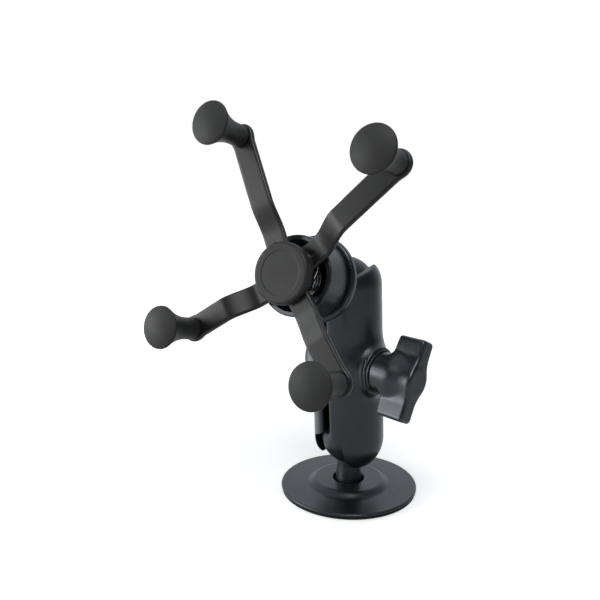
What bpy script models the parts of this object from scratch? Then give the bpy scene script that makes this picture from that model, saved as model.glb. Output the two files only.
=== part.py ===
"""Phone mount: a sprung four-peg cradle on a double-ball arm with a wing knob and a round stick-on base.

The origin is the centre of the adhesive underside. +Z is up and the cradle faces -Y. +X is on the knob's side,
and the arm is turned so that its clamp bolt points a little forward of it. Blender works in metres.
"""

import math

import bmesh
import bpy
from mathutils import Vector

MM = 0.001

# Clearances
SEAT_GAP = 0.25 * MM
RUNNING_GAP = 0.15 * MM
BALL_GAP = 0.3 * MM
SHAFT_GAP = 0.1 * MM

# Base
BASE_DIAMETER = 63.5 * MM
BASE_RIM_THICKNESS = 1.5 * MM
PAD_THICKNESS = 0.8 * MM
PAD_INSET = 0.4 * MM
PLATFORM_DIAMETER = 37.0 * MM
PLATFORM_RISE = 2.4 * MM
POST_HOLE_DIAMETER = 14.6 * MM
POST_FLANGE_DIAMETER = 26.0 * MM
POST_FLANGE_THICKNESS = 1.6 * MM
BALL_HEIGHT = 26.0 * MM

# Balls, the same at both ends of the arm
BALL_DIAMETER = 25.4 * MM
RUBBER_THICKNESS = 2.2 * MM
NECK_DIAMETER = 12.8 * MM
NECK_WAIST_DIAMETER = 10.8 * MM

# Arm
ARM_LEAN = math.radians(4.2)
ARM_TURN = math.radians(-15.0)
SOCKET_SPACING = 72.0 * MM
SHELL_WALL = 3.0 * MM
SPLIT_GAP = 4.3 * MM
MOUTH_DIAMETER = 20.4 * MM
NECK_SLOT_WIDTH = 14.4 * MM
NECK_SLOT_REACH = 2.2 * MM
NECK_SLOT_TAPER = 5.7 * MM
OPEN_END_REACH = 7.4 * MM
OPEN_SLOT_WIDTH = 21.0 * MM
OPEN_SLOT_FLOOR_WIDTH = 15.0 * MM
OPEN_SLOT_REACH = 2.2 * MM
OPEN_SLOT_TAPER = 4.7 * MM
SPRING_CUP_WALL = 2.2 * MM
SPRING_CUP_DEPTH = 5.0 * MM
KNOB_BOSS_DIAMETER = 20.4 * MM
KNOB_BOSS_FOOT_DIAMETER = 28.0 * MM
KNOB_BOSS_HEIGHT = 3.2 * MM
BOSS_FOOT_SHARE = 0.55
BOSS_GROOVE_WIDTH = 0.9 * MM
BOSS_GROOVE_DEPTH = 0.7 * MM
HEAD_BOSS_DIAMETER = 19.0 * MM
HEAD_BOSS_HEIGHT = 2.2 * MM

# Clamp hardware
BOLT_DIAMETER = 6.35 * MM
BOLT_HEAD_FLATS = 11.1 * MM
BOLT_HEAD_HEIGHT = 4.0 * MM
BOLT_HOLE_DIAMETER = 6.8 * MM
CLAMP_WIRE = 1.3 * MM
CLAMP_COIL_DIAMETER = 9.4 * MM
CLAMP_CURLS = 4
KNOB_WASHER_DIAMETER = 19.2 * MM
KNOB_WASHER_THICKNESS = 1.0 * MM
KNOB_HUB_DIAMETER = 18.0 * MM
KNOB_HUB_HEIGHT = 6.5 * MM
HUB_TAPER_BACK = 2.5 * MM
HUB_TAPER_SHORT = 2.0 * MM
WING_LENGTH = 34.0 * MM
WING_DEPTH = 12.8 * MM
WING_CENTRE_WIDTH = 12.6 * MM
WING_TIP_WIDTH = 7.6 * MM
WING_TIP_ROUND = 1.4 * MM
WING_EDGE_ROUND = 1.2 * MM
WING_OGEE_SHARE = 0.6
WING_OGEE_STEPS = 6
WING_ANGLE = math.radians(-28.3)
INSERT_DIAMETER = 10.0 * MM
INSERT_LENGTH = 11.0 * MM
BOLT_SHORT_OF_INSERT = 1.0 * MM

# Cradle, measured forward from the upper ball's centre along the ball stud
CRADLE_LEAN_BACK = math.radians(12.5)
CRADLE_ROLL = math.radians(9.4)
PLATE_DIAMETER = 36.0 * MM
PLATE_THICKNESS = 3.8 * MM
PLATE_EDGE_ROUND = 1.3 * MM
PLATE_BACK = 24.6 * MM
HOUSING_DIAMETER = 32.0 * MM
HOUSING_WALL = 2.0 * MM
HOUSING_BACK_WALL = 3.2 * MM
HOUSING_LENGTH = 14.6 * MM
PIVOT_TUBE_DIAMETER = 9.2 * MM
PIVOT_DIAMETER = 5.0 * MM
PIVOT_HEAD_DIAMETER = 11.0 * MM
PIVOT_HEAD_HEIGHT = 1.5 * MM
NUT_FLATS = 8.0 * MM
NUT_HEIGHT = 3.2 * MM
NUT_SEAT_DIAMETER = 13.0 * MM
NUT_SEAT_WALL = 2.0 * MM
WASHER_DIAMETER = 15.0 * MM
WASHER_THICKNESS = 0.8 * MM
BAR_THICKNESS = 2.4 * MM
BAR_WIDTH = 9.6 * MM
BAR_EYE_DIAMETER = 20.0 * MM
BAR_END_DIAMETER = 10.4 * MM
BAR_JOGGLE_START = 16.0 * MM
BAR_JOGGLE_LENGTH = 14.0 * MM
BAR_END_BACK = 50.4 * MM
HUB_CAP_DIAMETER = 24.0 * MM
HUB_CAP_HEIGHT = 3.2 * MM
HUB_CAP_ROUND = 1.4 * MM
SCREW_CIRCLE_DIAMETER = 24.4 * MM
SCREW_COUNT = 4
SCREW_DIAMETER = 2.6 * MM
SCREW_HEAD_DIAMETER = 5.0 * MM
SCREW_HEAD_HEIGHT = 1.5 * MM
SCREW_LENGTH = 9.0 * MM
SCREW_BOSS_DIAMETER = 4.4 * MM
SCREW_BOSS_HEIGHT = 5.5 * MM

# Grip spring
GRIP_WIRE = 1.3 * MM
GRIP_COIL_DIAMETER = 14.6 * MM
GRIP_COIL_START = 2.6 * MM
GRIP_COIL_LENGTH = 7.0 * MM
GRIP_CURLS = 3
GRIP_LEG_RADIUS = 12.0 * MM
GRIP_LEG_BEND = 1.4 * MM
GRIP_LEG_SWEEP = math.radians(60)

# Pegs and their rubber caps
GRIP_HALF_WIDTH = 34.4 * MM
UPPER_PEG_HEIGHT = 47.1 * MM
LOWER_PEG_DEPTH = 31.5 * MM
PEG_DIAMETER = 5.2 * MM
PEG_SHANK_DIAMETER = 4.2 * MM
PEG_HEAD_DIAMETER = 8.6 * MM
PEG_HEAD_HEIGHT = 2.0 * MM
PEG_HEAD_ROUND = 1.6 * MM
PEG_LENGTH = 13.0 * MM
CAP_STEM_DIAMETER = 8.8 * MM
CAP_FLARE_DIAMETER = 16.8 * MM
CAP_LENGTH = 19.8 * MM
CAP_STEM_LENGTH = 5.0 * MM
CAP_FACE_CROWN = 1.5 * MM
CAP_RIM = 0.9 * MM
CAP_FLARE_POWER = 1.9
CAP_FLARE_RINGS = 6

# Facets
LARGE_STEPS = 40
MEDIUM_STEPS = 28
SMALL_STEPS = 20
TINY_STEPS = 12
ARC_STEPS = 6
BALL_ARC_STEPS = 7
CURL_STEPS = 10
BAR_STEP_RINGS = 6
DRILL_TWIST = math.radians(3.7)
WELD_REACH = 0.002 * MM

# Sizes that follow from the ones above
BALL_RADIUS = BALL_DIAMETER / 2
CORE_RADIUS = BALL_RADIUS - RUBBER_THICKNESS - SEAT_GAP
SOCKET_RADIUS = BALL_RADIUS + BALL_GAP
SHELL_RADIUS = SOCKET_RADIUS + SHELL_WALL
BOSS_SEAT = SHELL_RADIUS + KNOB_BOSS_HEIGHT
HEAD_SEAT = SHELL_RADIUS + HEAD_BOSS_HEIGHT
CUP_FLOOR = SPLIT_GAP / 2 + SPRING_CUP_DEPTH
CUP_RADIUS = (CLAMP_COIL_DIAMETER + CLAMP_WIRE) / 2 + 3 * SEAT_GAP
WASHER_BACK = BOSS_SEAT + RUNNING_GAP
KNOB_BACK = WASHER_BACK + KNOB_WASHER_THICKNESS + RUNNING_GAP
BASE_UNDERSIDE = PAD_THICKNESS + SEAT_GAP
RIM_TOP = BASE_UNDERSIDE + BASE_RIM_THICKNESS
PLATFORM_TOP = RIM_TOP + PLATFORM_RISE
PLATE_FRONT = PLATE_BACK + PLATE_THICKNESS
HOUSING_BACK = PLATE_FRONT + SEAT_GAP
HOUSING_FRONT = HOUSING_BACK + HOUSING_LENGTH
REAR_WASHER_BACK = HOUSING_FRONT + RUNNING_GAP
REAR_BAR_BACK = REAR_WASHER_BACK + WASHER_THICKNESS + RUNNING_GAP
MIDDLE_WASHER_BACK = REAR_BAR_BACK + BAR_THICKNESS + RUNNING_GAP
FRONT_BAR_BACK = MIDDLE_WASHER_BACK + WASHER_THICKNESS + RUNNING_GAP
HUB_CAP_BACK = FRONT_BAR_BACK + BAR_THICKNESS + SEAT_GAP
BAR_END_FRONT = BAR_END_BACK + BAR_THICKNESS
CAP_BACK = BAR_END_FRONT + SEAT_GAP

PEG_PLACES = {
    "upper_left": (-GRIP_HALF_WIDTH, UPPER_PEG_HEIGHT),
    "upper_right": (GRIP_HALF_WIDTH, UPPER_PEG_HEIGHT),
    "lower_left": (-GRIP_HALF_WIDTH, -LOWER_PEG_DEPTH),
    "lower_right": (GRIP_HALF_WIDTH, -LOWER_PEG_DEPTH),
}
REAR_BAR_ENDS = ("upper_right", "lower_left")
FRONT_BAR_ENDS = ("upper_left", "lower_right")

BLACK_COMPOSITE = ((0.030, 0.032, 0.036), 0.45, 0.0)
BLACK_RUBBER = ((0.042, 0.042, 0.043), 0.75, 0.0)
DARK_STEEL = ((0.045, 0.045, 0.048), 0.35, 0.8)
BRIGHT_STEEL = ((0.55, 0.56, 0.58), 0.28, 1.0)
ADHESIVE = ((0.030, 0.030, 0.031), 0.8, 0.0)
BRASS = ((0.62, 0.45, 0.18), 0.3, 1.0)


# Scene, collections and helpers
for old in list(bpy.data.objects):
    bpy.data.objects.remove(old, do_unlink=True)


def new_collection(name):
    collection = bpy.data.collections.new(name)
    bpy.context.scene.collection.children.link(collection)
    return collection


PARTS = new_collection("phone_mount")
CUTTERS = new_collection("phone_mount_cutters")
PIVOTS = new_collection("phone_mount_pivots")


def pivot(name, parent=None, location=(0, 0, 0), rotation=(0, 0, 0)):
    """An empty on a joint's axis."""
    empty = bpy.data.objects.new(name, None)
    empty.empty_display_size = 10 * MM
    empty.location = location
    empty.rotation_euler = rotation
    empty.parent = parent
    PIVOTS.objects.link(empty)
    return empty


def place(obj, parent, location=(0, 0, 0), rotation=(0, 0, 0)):
    obj.parent = parent
    obj.location = location
    obj.rotation_euler = rotation
    PARTS.objects.link(obj)
    return obj


def as_helper(obj):
    """Makes an object a cutter or a joined shape, which isn't a piece by itself."""
    PARTS.objects.unlink(obj)
    CUTTERS.objects.link(obj)
    obj.hide_render = True
    obj.display_type = "WIRE"
    return obj


def finish(obj, look):
    """Gives a piece its own material."""
    colour, roughness, metallic = look
    material = bpy.data.materials.new(obj.name)
    material.use_nodes = True
    shader = material.node_tree.nodes["Principled BSDF"]
    shader.inputs["Base Color"].default_value = (*colour, 1.0)
    shader.inputs["Roughness"].default_value = roughness
    shader.inputs["Metallic"].default_value = metallic
    obj.data.materials.append(material)
    return obj


def boolean(obj, other, operation):
    modifier = obj.modifiers.new(other.name, "BOOLEAN")
    modifier.object = other
    modifier.operation = operation
    modifier.solver = "EXACT"
    weld = obj.modifiers.new(f"weld {other.name}", "WELD")
    weld.merge_threshold = WELD_REACH


def cut(obj, *others):
    for other in others:
        boolean(obj, other, "DIFFERENCE")


def join(obj, *others):
    for other in others:
        boolean(obj, other, "UNION")


def arc(centre_r, centre_z, radius, start_deg, end_deg, steps=ARC_STEPS):
    """Points (r, z) on an arc, with 0 degrees outwards and 90 degrees up."""
    points = []
    for i in range(steps + 1):
        angle = math.radians(start_deg + (end_deg - start_deg) * i / steps)
        points.append((centre_r + radius * math.cos(angle), centre_z + radius * math.sin(angle)))
    return points


def turned(name, profile, parent, location=(0, 0, 0), rotation=(0, 0, 0), steps=MEDIUM_STEPS, closed=False):
    """A turned shape about local Z. The profile (r, z) runs down its outer side."""
    mesh = bpy.data.meshes.new(name)
    edges = [(i, i + 1) for i in range(len(profile) - 1)]
    if closed:
        edges.append((len(profile) - 1, 0))
    mesh.from_pydata([(r, 0, z) for r, z in profile], edges, [])
    obj = place(bpy.data.objects.new(name, mesh), parent, location, rotation)
    screw = obj.modifiers.new("turn", "SCREW")
    screw.axis = "Z"
    screw.angle = math.tau
    screw.steps = screw.render_steps = steps
    screw.use_merge_vertices = True
    screw.merge_threshold = 0.00001
    screw.use_smooth_shade = True
    return obj


def ring(name, inner, outer, back, front, parent, location=(0, 0, 0), rotation=(0, 0, 0), steps=SMALL_STEPS):
    """A flat ring between two heights."""
    profile = [(inner, front), (outer, front), (outer, back), (inner, back)]
    return turned(name, profile, parent, location, rotation, steps, closed=True)


def rod(name, radius, back, front, parent, location=(0, 0, 0), rotation=(0, 0, 0), steps=SMALL_STEPS):
    profile = [(0, front), (radius, front), (radius, back), (0, back)]
    return turned(name, profile, parent, location, rotation, steps)


def drill(name, radius, back, front, parent, location=(0, 0, 0), steps=SMALL_STEPS):
    """A round cutter, turned a little so that its corners miss those of the shape that it cuts."""
    return as_helper(rod(name, radius, back, front, parent, location, (0, 0, DRILL_TWIST), steps))


def prism(name, outline, back, front, parent, location=(0, 0, 0), rotation=(0, 0, 0)):
    """A flat outline (x, y) raised along local Z."""
    build = bmesh.new()
    face = build.faces.new([build.verts.new((x, y, back)) for x, y in outline])
    grown = bmesh.ops.extrude_face_region(build, geom=[face])
    raised = [item for item in grown["geom"] if isinstance(item, bmesh.types.BMVert)]
    bmesh.ops.translate(build, vec=(0, 0, front - back), verts=raised)
    bmesh.ops.recalc_face_normals(build, faces=build.faces)
    mesh = bpy.data.meshes.new(name)
    build.to_mesh(mesh)
    build.free()
    return place(bpy.data.objects.new(name, mesh), parent, location, rotation)


def hexagon(flats):
    radius = flats / math.sqrt(3)
    return [(radius * math.cos(math.tau * i / 6), radius * math.sin(math.tau * i / 6)) for i in range(6)]


def box(name, low, high, parent):
    """A block between two corners of the parent's frame."""
    outline = [(low[0], low[1]), (high[0], low[1]), (high[0], high[1]), (low[0], high[1])]
    return prism(name, outline, low[2], high[2], parent)


def least_gap(points, tube):
    """The least gap between stretches of a wound tube that aren't next to each other."""
    least = math.inf
    reach = [0.0]
    for a, b in zip(points, points[1:]):
        reach.append(reach[-1] + (b - a).length)
    for i, first in enumerate(points):
        for j in range(i + 1, len(points)):
            if reach[j] - reach[i] > 4 * tube:
                least = min(least, (points[j] - first).length - tube)
    return least


def wire(name, points, diameter, parent, location=(0, 0, 0), rotation=(0, 0, 0)):
    """One unbroken tube along points."""
    curve = bpy.data.curves.new(name, "CURVE")
    curve.dimensions = "3D"
    curve.bevel_depth = diameter / 2
    curve.bevel_resolution = 1
    curve.use_fill_caps = True
    spline = curve.splines.new("POLY")
    spline.points.add(len(points) - 1)
    for spline_point, point in zip(spline.points, points):
        spline_point.co = (*point, 1)
    print(f"{name}: least gap to itself {least_gap(points, diameter) / MM:.2f} mm")
    return place(bpy.data.objects.new(name, curve), parent, location, rotation)


# Joint axes
ALONG_X = (0, math.radians(90), 0)
lower_ball = pivot("lower_ball_centre", None, (0, 0, BALL_HEIGHT))
arm_lean = pivot("arm_lean_axis", lower_ball, (0, 0, 0), (ARM_LEAN, 0, 0))
arm = pivot("arm_axis", arm_lean, (0, 0, 0), (0, 0, ARM_TURN))
clamp = pivot("clamp_axis", arm, (0, 0, SOCKET_SPACING / 2), ALONG_X)
upper_ball = pivot("upper_ball_centre", arm_lean, (0, 0, SOCKET_SPACING))
stud_tilt = math.radians(90) - CRADLE_LEAN_BACK - ARM_LEAN
facing = pivot("cradle_tilt_axis", upper_ball, (0, 0, 0), (stud_tilt, 0, 0))
cradle = pivot("cradle_swivel_axis", facing, (0, 0, 0), (0, 0, -CRADLE_ROLL))


# Balls: a core with its neck, and the rubber moulded over it
def neck_profile(foot):
    """The ball core's outer side from its top, down its neck to the foot, with the ball's centre at z = 0."""
    waist = NECK_WAIST_DIAMETER / 2
    neck = NECK_DIAMETER / 2
    neck_top = SHELL_RADIUS + 2 * BALL_GAP
    leave = math.degrees(math.acos(waist / CORE_RADIUS))
    points = [(0, CORE_RADIUS), *arc(0, 0, CORE_RADIUS, 90, -leave, BALL_ARC_STEPS)[1:]]
    points += [(waist, -neck_top), (neck, -neck_top - (neck - waist)), (neck, foot)]
    return points


def ball_rubber(name, parent, rotation=(0, 0, 0)):
    """A rubber skin with a mouth that the neck passes through, at -Z."""
    mouth = NECK_WAIST_DIAMETER / 2 + SEAT_GAP
    inner = BALL_RADIUS - RUBBER_THICKNESS
    outer_end = -math.degrees(math.acos(mouth / BALL_RADIUS))
    inner_end = -math.degrees(math.acos(mouth / inner))
    profile = arc(0, 0, BALL_RADIUS, 90, outer_end, BALL_ARC_STEPS)
    profile += arc(0, 0, inner, inner_end, 90, BALL_ARC_STEPS)
    profile[0] = (0, BALL_RADIUS)
    profile[-1] = (0, inner)
    return finish(turned(name, profile, parent, (0, 0, 0), rotation, MEDIUM_STEPS), BLACK_RUBBER)


# Base
pad_radius = BASE_DIAMETER / 2 - PAD_INSET
finish(rod("adhesive_pad", pad_radius, 0, PAD_THICKNESS, None, steps=LARGE_STEPS), ADHESIVE)

rim_radius = BASE_DIAMETER / 2
rim_round = BASE_RIM_THICKNESS / 2
hole_radius = POST_HOLE_DIAMETER / 2
flange_radius = POST_FLANGE_DIAMETER / 2
recess_radius = flange_radius + 2 * SEAT_GAP
flange_top = BASE_UNDERSIDE + POST_FLANGE_THICKNESS
recess_top = flange_top + SEAT_GAP
shoulder = PLATFORM_DIAMETER / 2
rise = PLATFORM_RISE / 2
base_profile = [(hole_radius, PLATFORM_TOP)]
base_profile += arc(shoulder - rise, PLATFORM_TOP - rise, rise, 90, 0, 4)
base_profile += arc(shoulder + rise, RIM_TOP + rise, rise, 180, 270, 4)
base_profile += arc(rim_radius - rim_round, BASE_UNDERSIDE + rim_round, rim_round, 90, -90, 4)
base_profile += [(recess_radius, BASE_UNDERSIDE), (recess_radius, recess_top), (hole_radius, recess_top)]
finish(turned("base_disc", base_profile, None, steps=LARGE_STEPS, closed=True), BLACK_COMPOSITE)

post_profile = neck_profile(flange_top - BALL_HEIGHT)
post_profile += [(flange_radius, flange_top - BALL_HEIGHT), (flange_radius, BASE_UNDERSIDE - BALL_HEIGHT)]
post_profile += [(0, BASE_UNDERSIDE - BALL_HEIGHT)]
finish(turned("lower_ball_post", post_profile, lower_ball), BLACK_COMPOSITE)
ball_rubber("lower_ball_rubber", lower_ball)


# Arm: two socket shells cut from one capsule
def capsule(name, radius, steps=MEDIUM_STEPS):
    profile = arc(0, SOCKET_SPACING, radius, 90, 0, BALL_ARC_STEPS)
    profile += arc(0, 0, radius, 0, -90, BALL_ARC_STEPS)
    profile[0] = (0, SOCKET_SPACING + radius)
    profile[-1] = (0, -radius)
    return turned(name, profile, arm, steps=steps)


def neck_slot(name, end, outwards, floor_width, width, reach, taper):
    """A slot for a ball's neck, right through the shell along Y, from short of a ball's centre outwards."""
    wide = width / 2
    narrow = floor_width / 2
    tip = end - outwards * reach
    full = tip + outwards * taper
    far = end + outwards * 2 * SHELL_RADIUS
    outline = [(wide, far), (wide, full), (narrow, tip), (-narrow, tip), (-wide, full), (-wide, far)]
    outline = [(x, -z) for x, z in outline]
    depth = 2 * SHELL_RADIUS
    return as_helper(prism(name, outline, -depth, depth, arm, rotation=(math.radians(-90), 0, 0)))


def closed_end(side, end, outwards):
    """Cutters for the end of a shell that closes round the ball: a round mouth and a narrow neck slot."""
    low, high = sorted((end + outwards * SOCKET_RADIUS / 2, end + outwards * 2 * SHELL_RADIUS))
    mouth = drill(f"cut_mouth_{side}", MOUTH_DIAMETER / 2, low, high, arm, steps=MEDIUM_STEPS)
    widths = (SPLIT_GAP - 2 * SEAT_GAP, NECK_SLOT_WIDTH)
    slot = neck_slot(f"cut_slot_{side}", end, outwards, *widths, NECK_SLOT_REACH, NECK_SLOT_TAPER)
    return [mouth, slot]


def open_end(side, end, outwards):
    """Cutters for the end that stops just past the ball's centre, with a wide slot for the neck."""
    reach = 3 * SHELL_RADIUS
    low, high = sorted((end + outwards * OPEN_END_REACH, end + outwards * reach))
    past_ball = as_helper(box(f"cut_past_ball_{side}", (-reach, -reach, low), (reach, reach, high), arm))
    widths = (OPEN_SLOT_FLOOR_WIDTH, OPEN_SLOT_WIDTH)
    slot = neck_slot(f"cut_open_slot_{side}", end, outwards, *widths, OPEN_SLOT_REACH, OPEN_SLOT_TAPER)
    return [past_ball, slot]


def end_cutters(side, sign):
    """Both shells have one end that closes round a ball and one that is open, turned end for end."""
    lower = (0, -1)
    upper = (SOCKET_SPACING, 1)
    closed, opened = (lower, upper) if sign > 0 else (upper, lower)
    return closed_end(side, *closed) + open_end(side, *opened)


def arm_half(side, sign, outer_boss, extra_cutters):
    """One shell: the capsule's half, hollowed, with a cup for the spring and a boss outside."""
    shell = capsule(f"arm_half_{side}_side", SHELL_RADIUS)
    hollow = as_helper(capsule(f"cut_hollow_{side}", SOCKET_RADIUS))
    near, far = sorted((sign * SPLIT_GAP / 4, sign * (SHELL_RADIUS - SHELL_WALL / 2)))
    cup = as_helper(rod(f"add_cup_{side}", CUP_RADIUS + SPRING_CUP_WALL, near, far, clamp))
    reach = 3 * SHELL_RADIUS
    low_x, high_x = sorted((sign * SPLIT_GAP / 2, -sign * reach))
    other_side = as_helper(
        box(f"cut_other_side_{side}", (low_x, -reach, -reach), (high_x, reach, SOCKET_SPACING + reach), arm)
    )
    low, high = sorted((0, sign * CUP_FLOOR))
    pocket = drill(f"cut_spring_cup_{side}", CUP_RADIUS, low, high, clamp)
    hole = drill(f"cut_bolt_hole_{side}", BOLT_HOLE_DIAMETER / 2, -reach, reach, clamp)
    join(shell, outer_boss)
    cut(shell, hollow)
    join(shell, cup)
    cut(shell, other_side, pocket, hole, *extra_cutters, *end_cutters(side, sign))
    return finish(shell, BLACK_COMPOSITE)


boss_radius = KNOB_BOSS_DIAMETER / 2
boss_foot = BOSS_FOOT_SHARE * SHELL_RADIUS
groove_top = BOSS_SEAT - BOSS_GROOVE_WIDTH
groove_foot = groove_top - BOSS_GROOVE_WIDTH
boss_profile = [
    (0, BOSS_SEAT),
    (boss_radius - BOSS_GROOVE_DEPTH / 2, BOSS_SEAT),
    (boss_radius, groove_top),
    (boss_radius - BOSS_GROOVE_DEPTH, groove_top),
    (boss_radius - BOSS_GROOVE_DEPTH, groove_foot),
    (boss_radius, groove_foot),
    (KNOB_BOSS_FOOT_DIAMETER / 2, boss_foot),
    (0, boss_foot),
]
knob_boss = as_helper(turned("add_knob_boss", boss_profile, clamp, steps=MEDIUM_STEPS))
arm_half("knob", 1, knob_boss, [])

head_boss = as_helper(
    rod("add_head_boss", HEAD_BOSS_DIAMETER / 2, -HEAD_SEAT, -boss_foot, clamp, steps=MEDIUM_STEPS)
)
head_floor = HEAD_SEAT - BOLT_HEAD_HEIGHT - SEAT_GAP
pocket_outline = hexagon(BOLT_HEAD_FLATS + 2 * SEAT_GAP)
head_pocket = as_helper(
    prism("cut_head_pocket", pocket_outline, -HEAD_SEAT - SHELL_WALL, -head_floor, clamp)
)
arm_half("bolt", -1, head_boss, [head_pocket])

# Clamp hardware on the bolt's axis
insert_front = KNOB_BACK + INSERT_LENGTH
head_inner = -head_floor - SEAT_GAP
head_outer = head_inner - BOLT_HEAD_HEIGHT
bolt_end = insert_front - BOLT_SHORT_OF_INSERT
bolt_head = prism("clamp_bolt", hexagon(BOLT_HEAD_FLATS), head_outer, head_inner, clamp)
bolt_shank = as_helper(
    rod("add_bolt_shank", BOLT_DIAMETER / 2, (head_outer + head_inner) / 2, bolt_end, clamp)
)
join(bolt_head, bolt_shank)
finish(bolt_head, BRIGHT_STEEL)


def clamp_spring_points():
    """Straight ends along the bolt, square to the cups' floors, with the curls between them."""
    end = CUP_FLOOR - SEAT_GAP
    straight = CLAMP_WIRE
    radius = CLAMP_COIL_DIAMETER / 2
    count = CLAMP_CURLS * CURL_STEPS
    points = [Vector((radius, 0, -end))]
    for i in range(count + 1):
        angle = math.tau * i / CURL_STEPS
        height = -end + straight + (2 * end - 2 * straight) * i / count
        points.append(Vector((radius * math.cos(angle), radius * math.sin(angle), height)))
    points.append(Vector((radius, 0, end)))
    return points


finish(wire("clamp_spring", clamp_spring_points(), CLAMP_WIRE, clamp), BRIGHT_STEEL)

washer_front = WASHER_BACK + KNOB_WASHER_THICKNESS
bolt_clear = BOLT_DIAMETER / 2 + SHAFT_GAP
washer_radius = KNOB_WASHER_DIAMETER / 2
washer_hole = bolt_clear + SHAFT_GAP
knob_washer = ring(
    "knob_washer", washer_hole, washer_radius, WASHER_BACK, washer_front, clamp, steps=MEDIUM_STEPS
)
finish(knob_washer, DARK_STEEL)


def wing_outline():
    """The wing's end face: wide at the hub, drawn in by an ogee to nearly square tips."""
    tip = WING_TIP_WIDTH / 2
    corner_x = WING_LENGTH / 2 - WING_TIP_ROUND
    corner_y = tip - WING_TIP_ROUND
    ogee = WING_OGEE_SHARE * corner_x
    upper = []
    for i in range(2 * WING_OGEE_STEPS + 1):
        along = ogee * (i / WING_OGEE_STEPS - 1)
        swell = (1 + math.cos(math.pi * along / ogee)) / 2
        upper.append((along, tip + (WING_CENTRE_WIDTH / 2 - tip) * swell))
    right = arc(corner_x, corner_y, WING_TIP_ROUND, 90, 0, 3)
    right += arc(corner_x, -corner_y, WING_TIP_ROUND, 0, -90, 3)
    left = [(-x, -y) for x, y in right]
    lower = [(x, -y) for x, y in reversed(upper)]
    points = upper + right + lower + left
    return list(reversed(points))


wing_back = KNOB_BACK + KNOB_HUB_HEIGHT - BALL_GAP
wing_front = wing_back + WING_DEPTH
wing = prism("wing_knob", wing_outline(), wing_back, wing_front, clamp, rotation=(0, 0, WING_ANGLE))
bevel = wing.modifiers.new("rounded edges", "BEVEL")
bevel.width = WING_EDGE_ROUND
bevel.segments = 3
bevel.limit_method = "ANGLE"
bevel.angle_limit = math.radians(50)
hub_radius = KNOB_HUB_DIAMETER / 2
hub_end = wing_front - HUB_TAPER_SHORT
hub_end_radius = WING_CENTRE_WIDTH / 2 - HUB_TAPER_SHORT / 2
hub_profile = [(0, hub_end), (hub_end_radius, hub_end), (hub_radius, wing_back + HUB_TAPER_BACK)]
hub_profile += [(hub_radius, KNOB_BACK), (0, KNOB_BACK)]
hub_twist = (0, 0, DRILL_TWIST)
knob_hub = as_helper(turned("add_knob_hub", hub_profile, clamp, (0, 0, 0), hub_twist, MEDIUM_STEPS))
insert_pocket = drill("cut_insert_pocket", INSERT_DIAMETER / 2 + SEAT_GAP, 0, insert_front + SEAT_GAP, clamp)
join(wing, knob_hub)
cut(wing, insert_pocket)
finish(wing, BLACK_COMPOSITE)
finish(ring("knob_insert", bolt_clear, INSERT_DIAMETER / 2, KNOB_BACK, insert_front, clamp), BRASS)

# Cradle: ball stud and round plate, with the ball rubber's mouth towards the plate
FORWARD = (math.radians(180), 0, 0)
ball_rubber("upper_ball_rubber", facing, FORWARD)
plate_radius = PLATE_DIAMETER / 2
plate_profile = neck_profile(-PLATE_BACK)
round_centre = plate_radius - PLATE_EDGE_ROUND
plate_profile += arc(round_centre, -PLATE_BACK - PLATE_EDGE_ROUND, PLATE_EDGE_ROUND, 90, 0, 3)
plate_profile += arc(round_centre, -PLATE_FRONT + PLATE_EDGE_ROUND, PLATE_EDGE_ROUND, 0, -90, 3)
plate_profile += [(0, -PLATE_FRONT)]
ball_plate = turned("ball_plate", plate_profile, cradle, rotation=FORWARD, steps=MEDIUM_STEPS)

# Spring housing: a drum with a tube for the pivot and a hexagon seat for its nut
housing_radius = HOUSING_DIAMETER / 2
drum_radius = housing_radius - HOUSING_WALL
floor = HOUSING_BACK + HOUSING_BACK_WALL
tube_radius = PIVOT_TUBE_DIAMETER / 2
nut_seat = HOUSING_BACK + SEAT_GAP + NUT_HEIGHT
pivot_clear = PIVOT_DIAMETER / 2 + SHAFT_GAP
housing_profile = [
    (pivot_clear + SHAFT_GAP, HOUSING_FRONT),
    (tube_radius, HOUSING_FRONT),
    (tube_radius, nut_seat + NUT_SEAT_WALL),
    (NUT_SEAT_DIAMETER / 2, nut_seat + NUT_SEAT_WALL),
    (NUT_SEAT_DIAMETER / 2, floor),
    (drum_radius, floor),
    (drum_radius, HOUSING_FRONT),
    (housing_radius, HOUSING_FRONT),
    (housing_radius, HOUSING_BACK),
    (pivot_clear + SHAFT_GAP, HOUSING_BACK),
]
housing = turned("hub_housing", housing_profile, cradle, closed=True)
nut_outline = hexagon(NUT_FLATS + 2 * SEAT_GAP)
nut_pocket = as_helper(prism("cut_nut_pocket", nut_outline, 0, nut_seat + SEAT_GAP, cradle))
cut(housing, nut_pocket)
finish(housing, BLACK_COMPOSITE)

pivot_nut = prism("pivot_nut", hexagon(NUT_FLATS), HOUSING_BACK + SEAT_GAP, nut_seat, cradle)
cut(pivot_nut, drill("cut_nut_thread", pivot_clear, 0, HOUSING_FRONT, cradle))
finish(pivot_nut, BRIGHT_STEEL)

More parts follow.
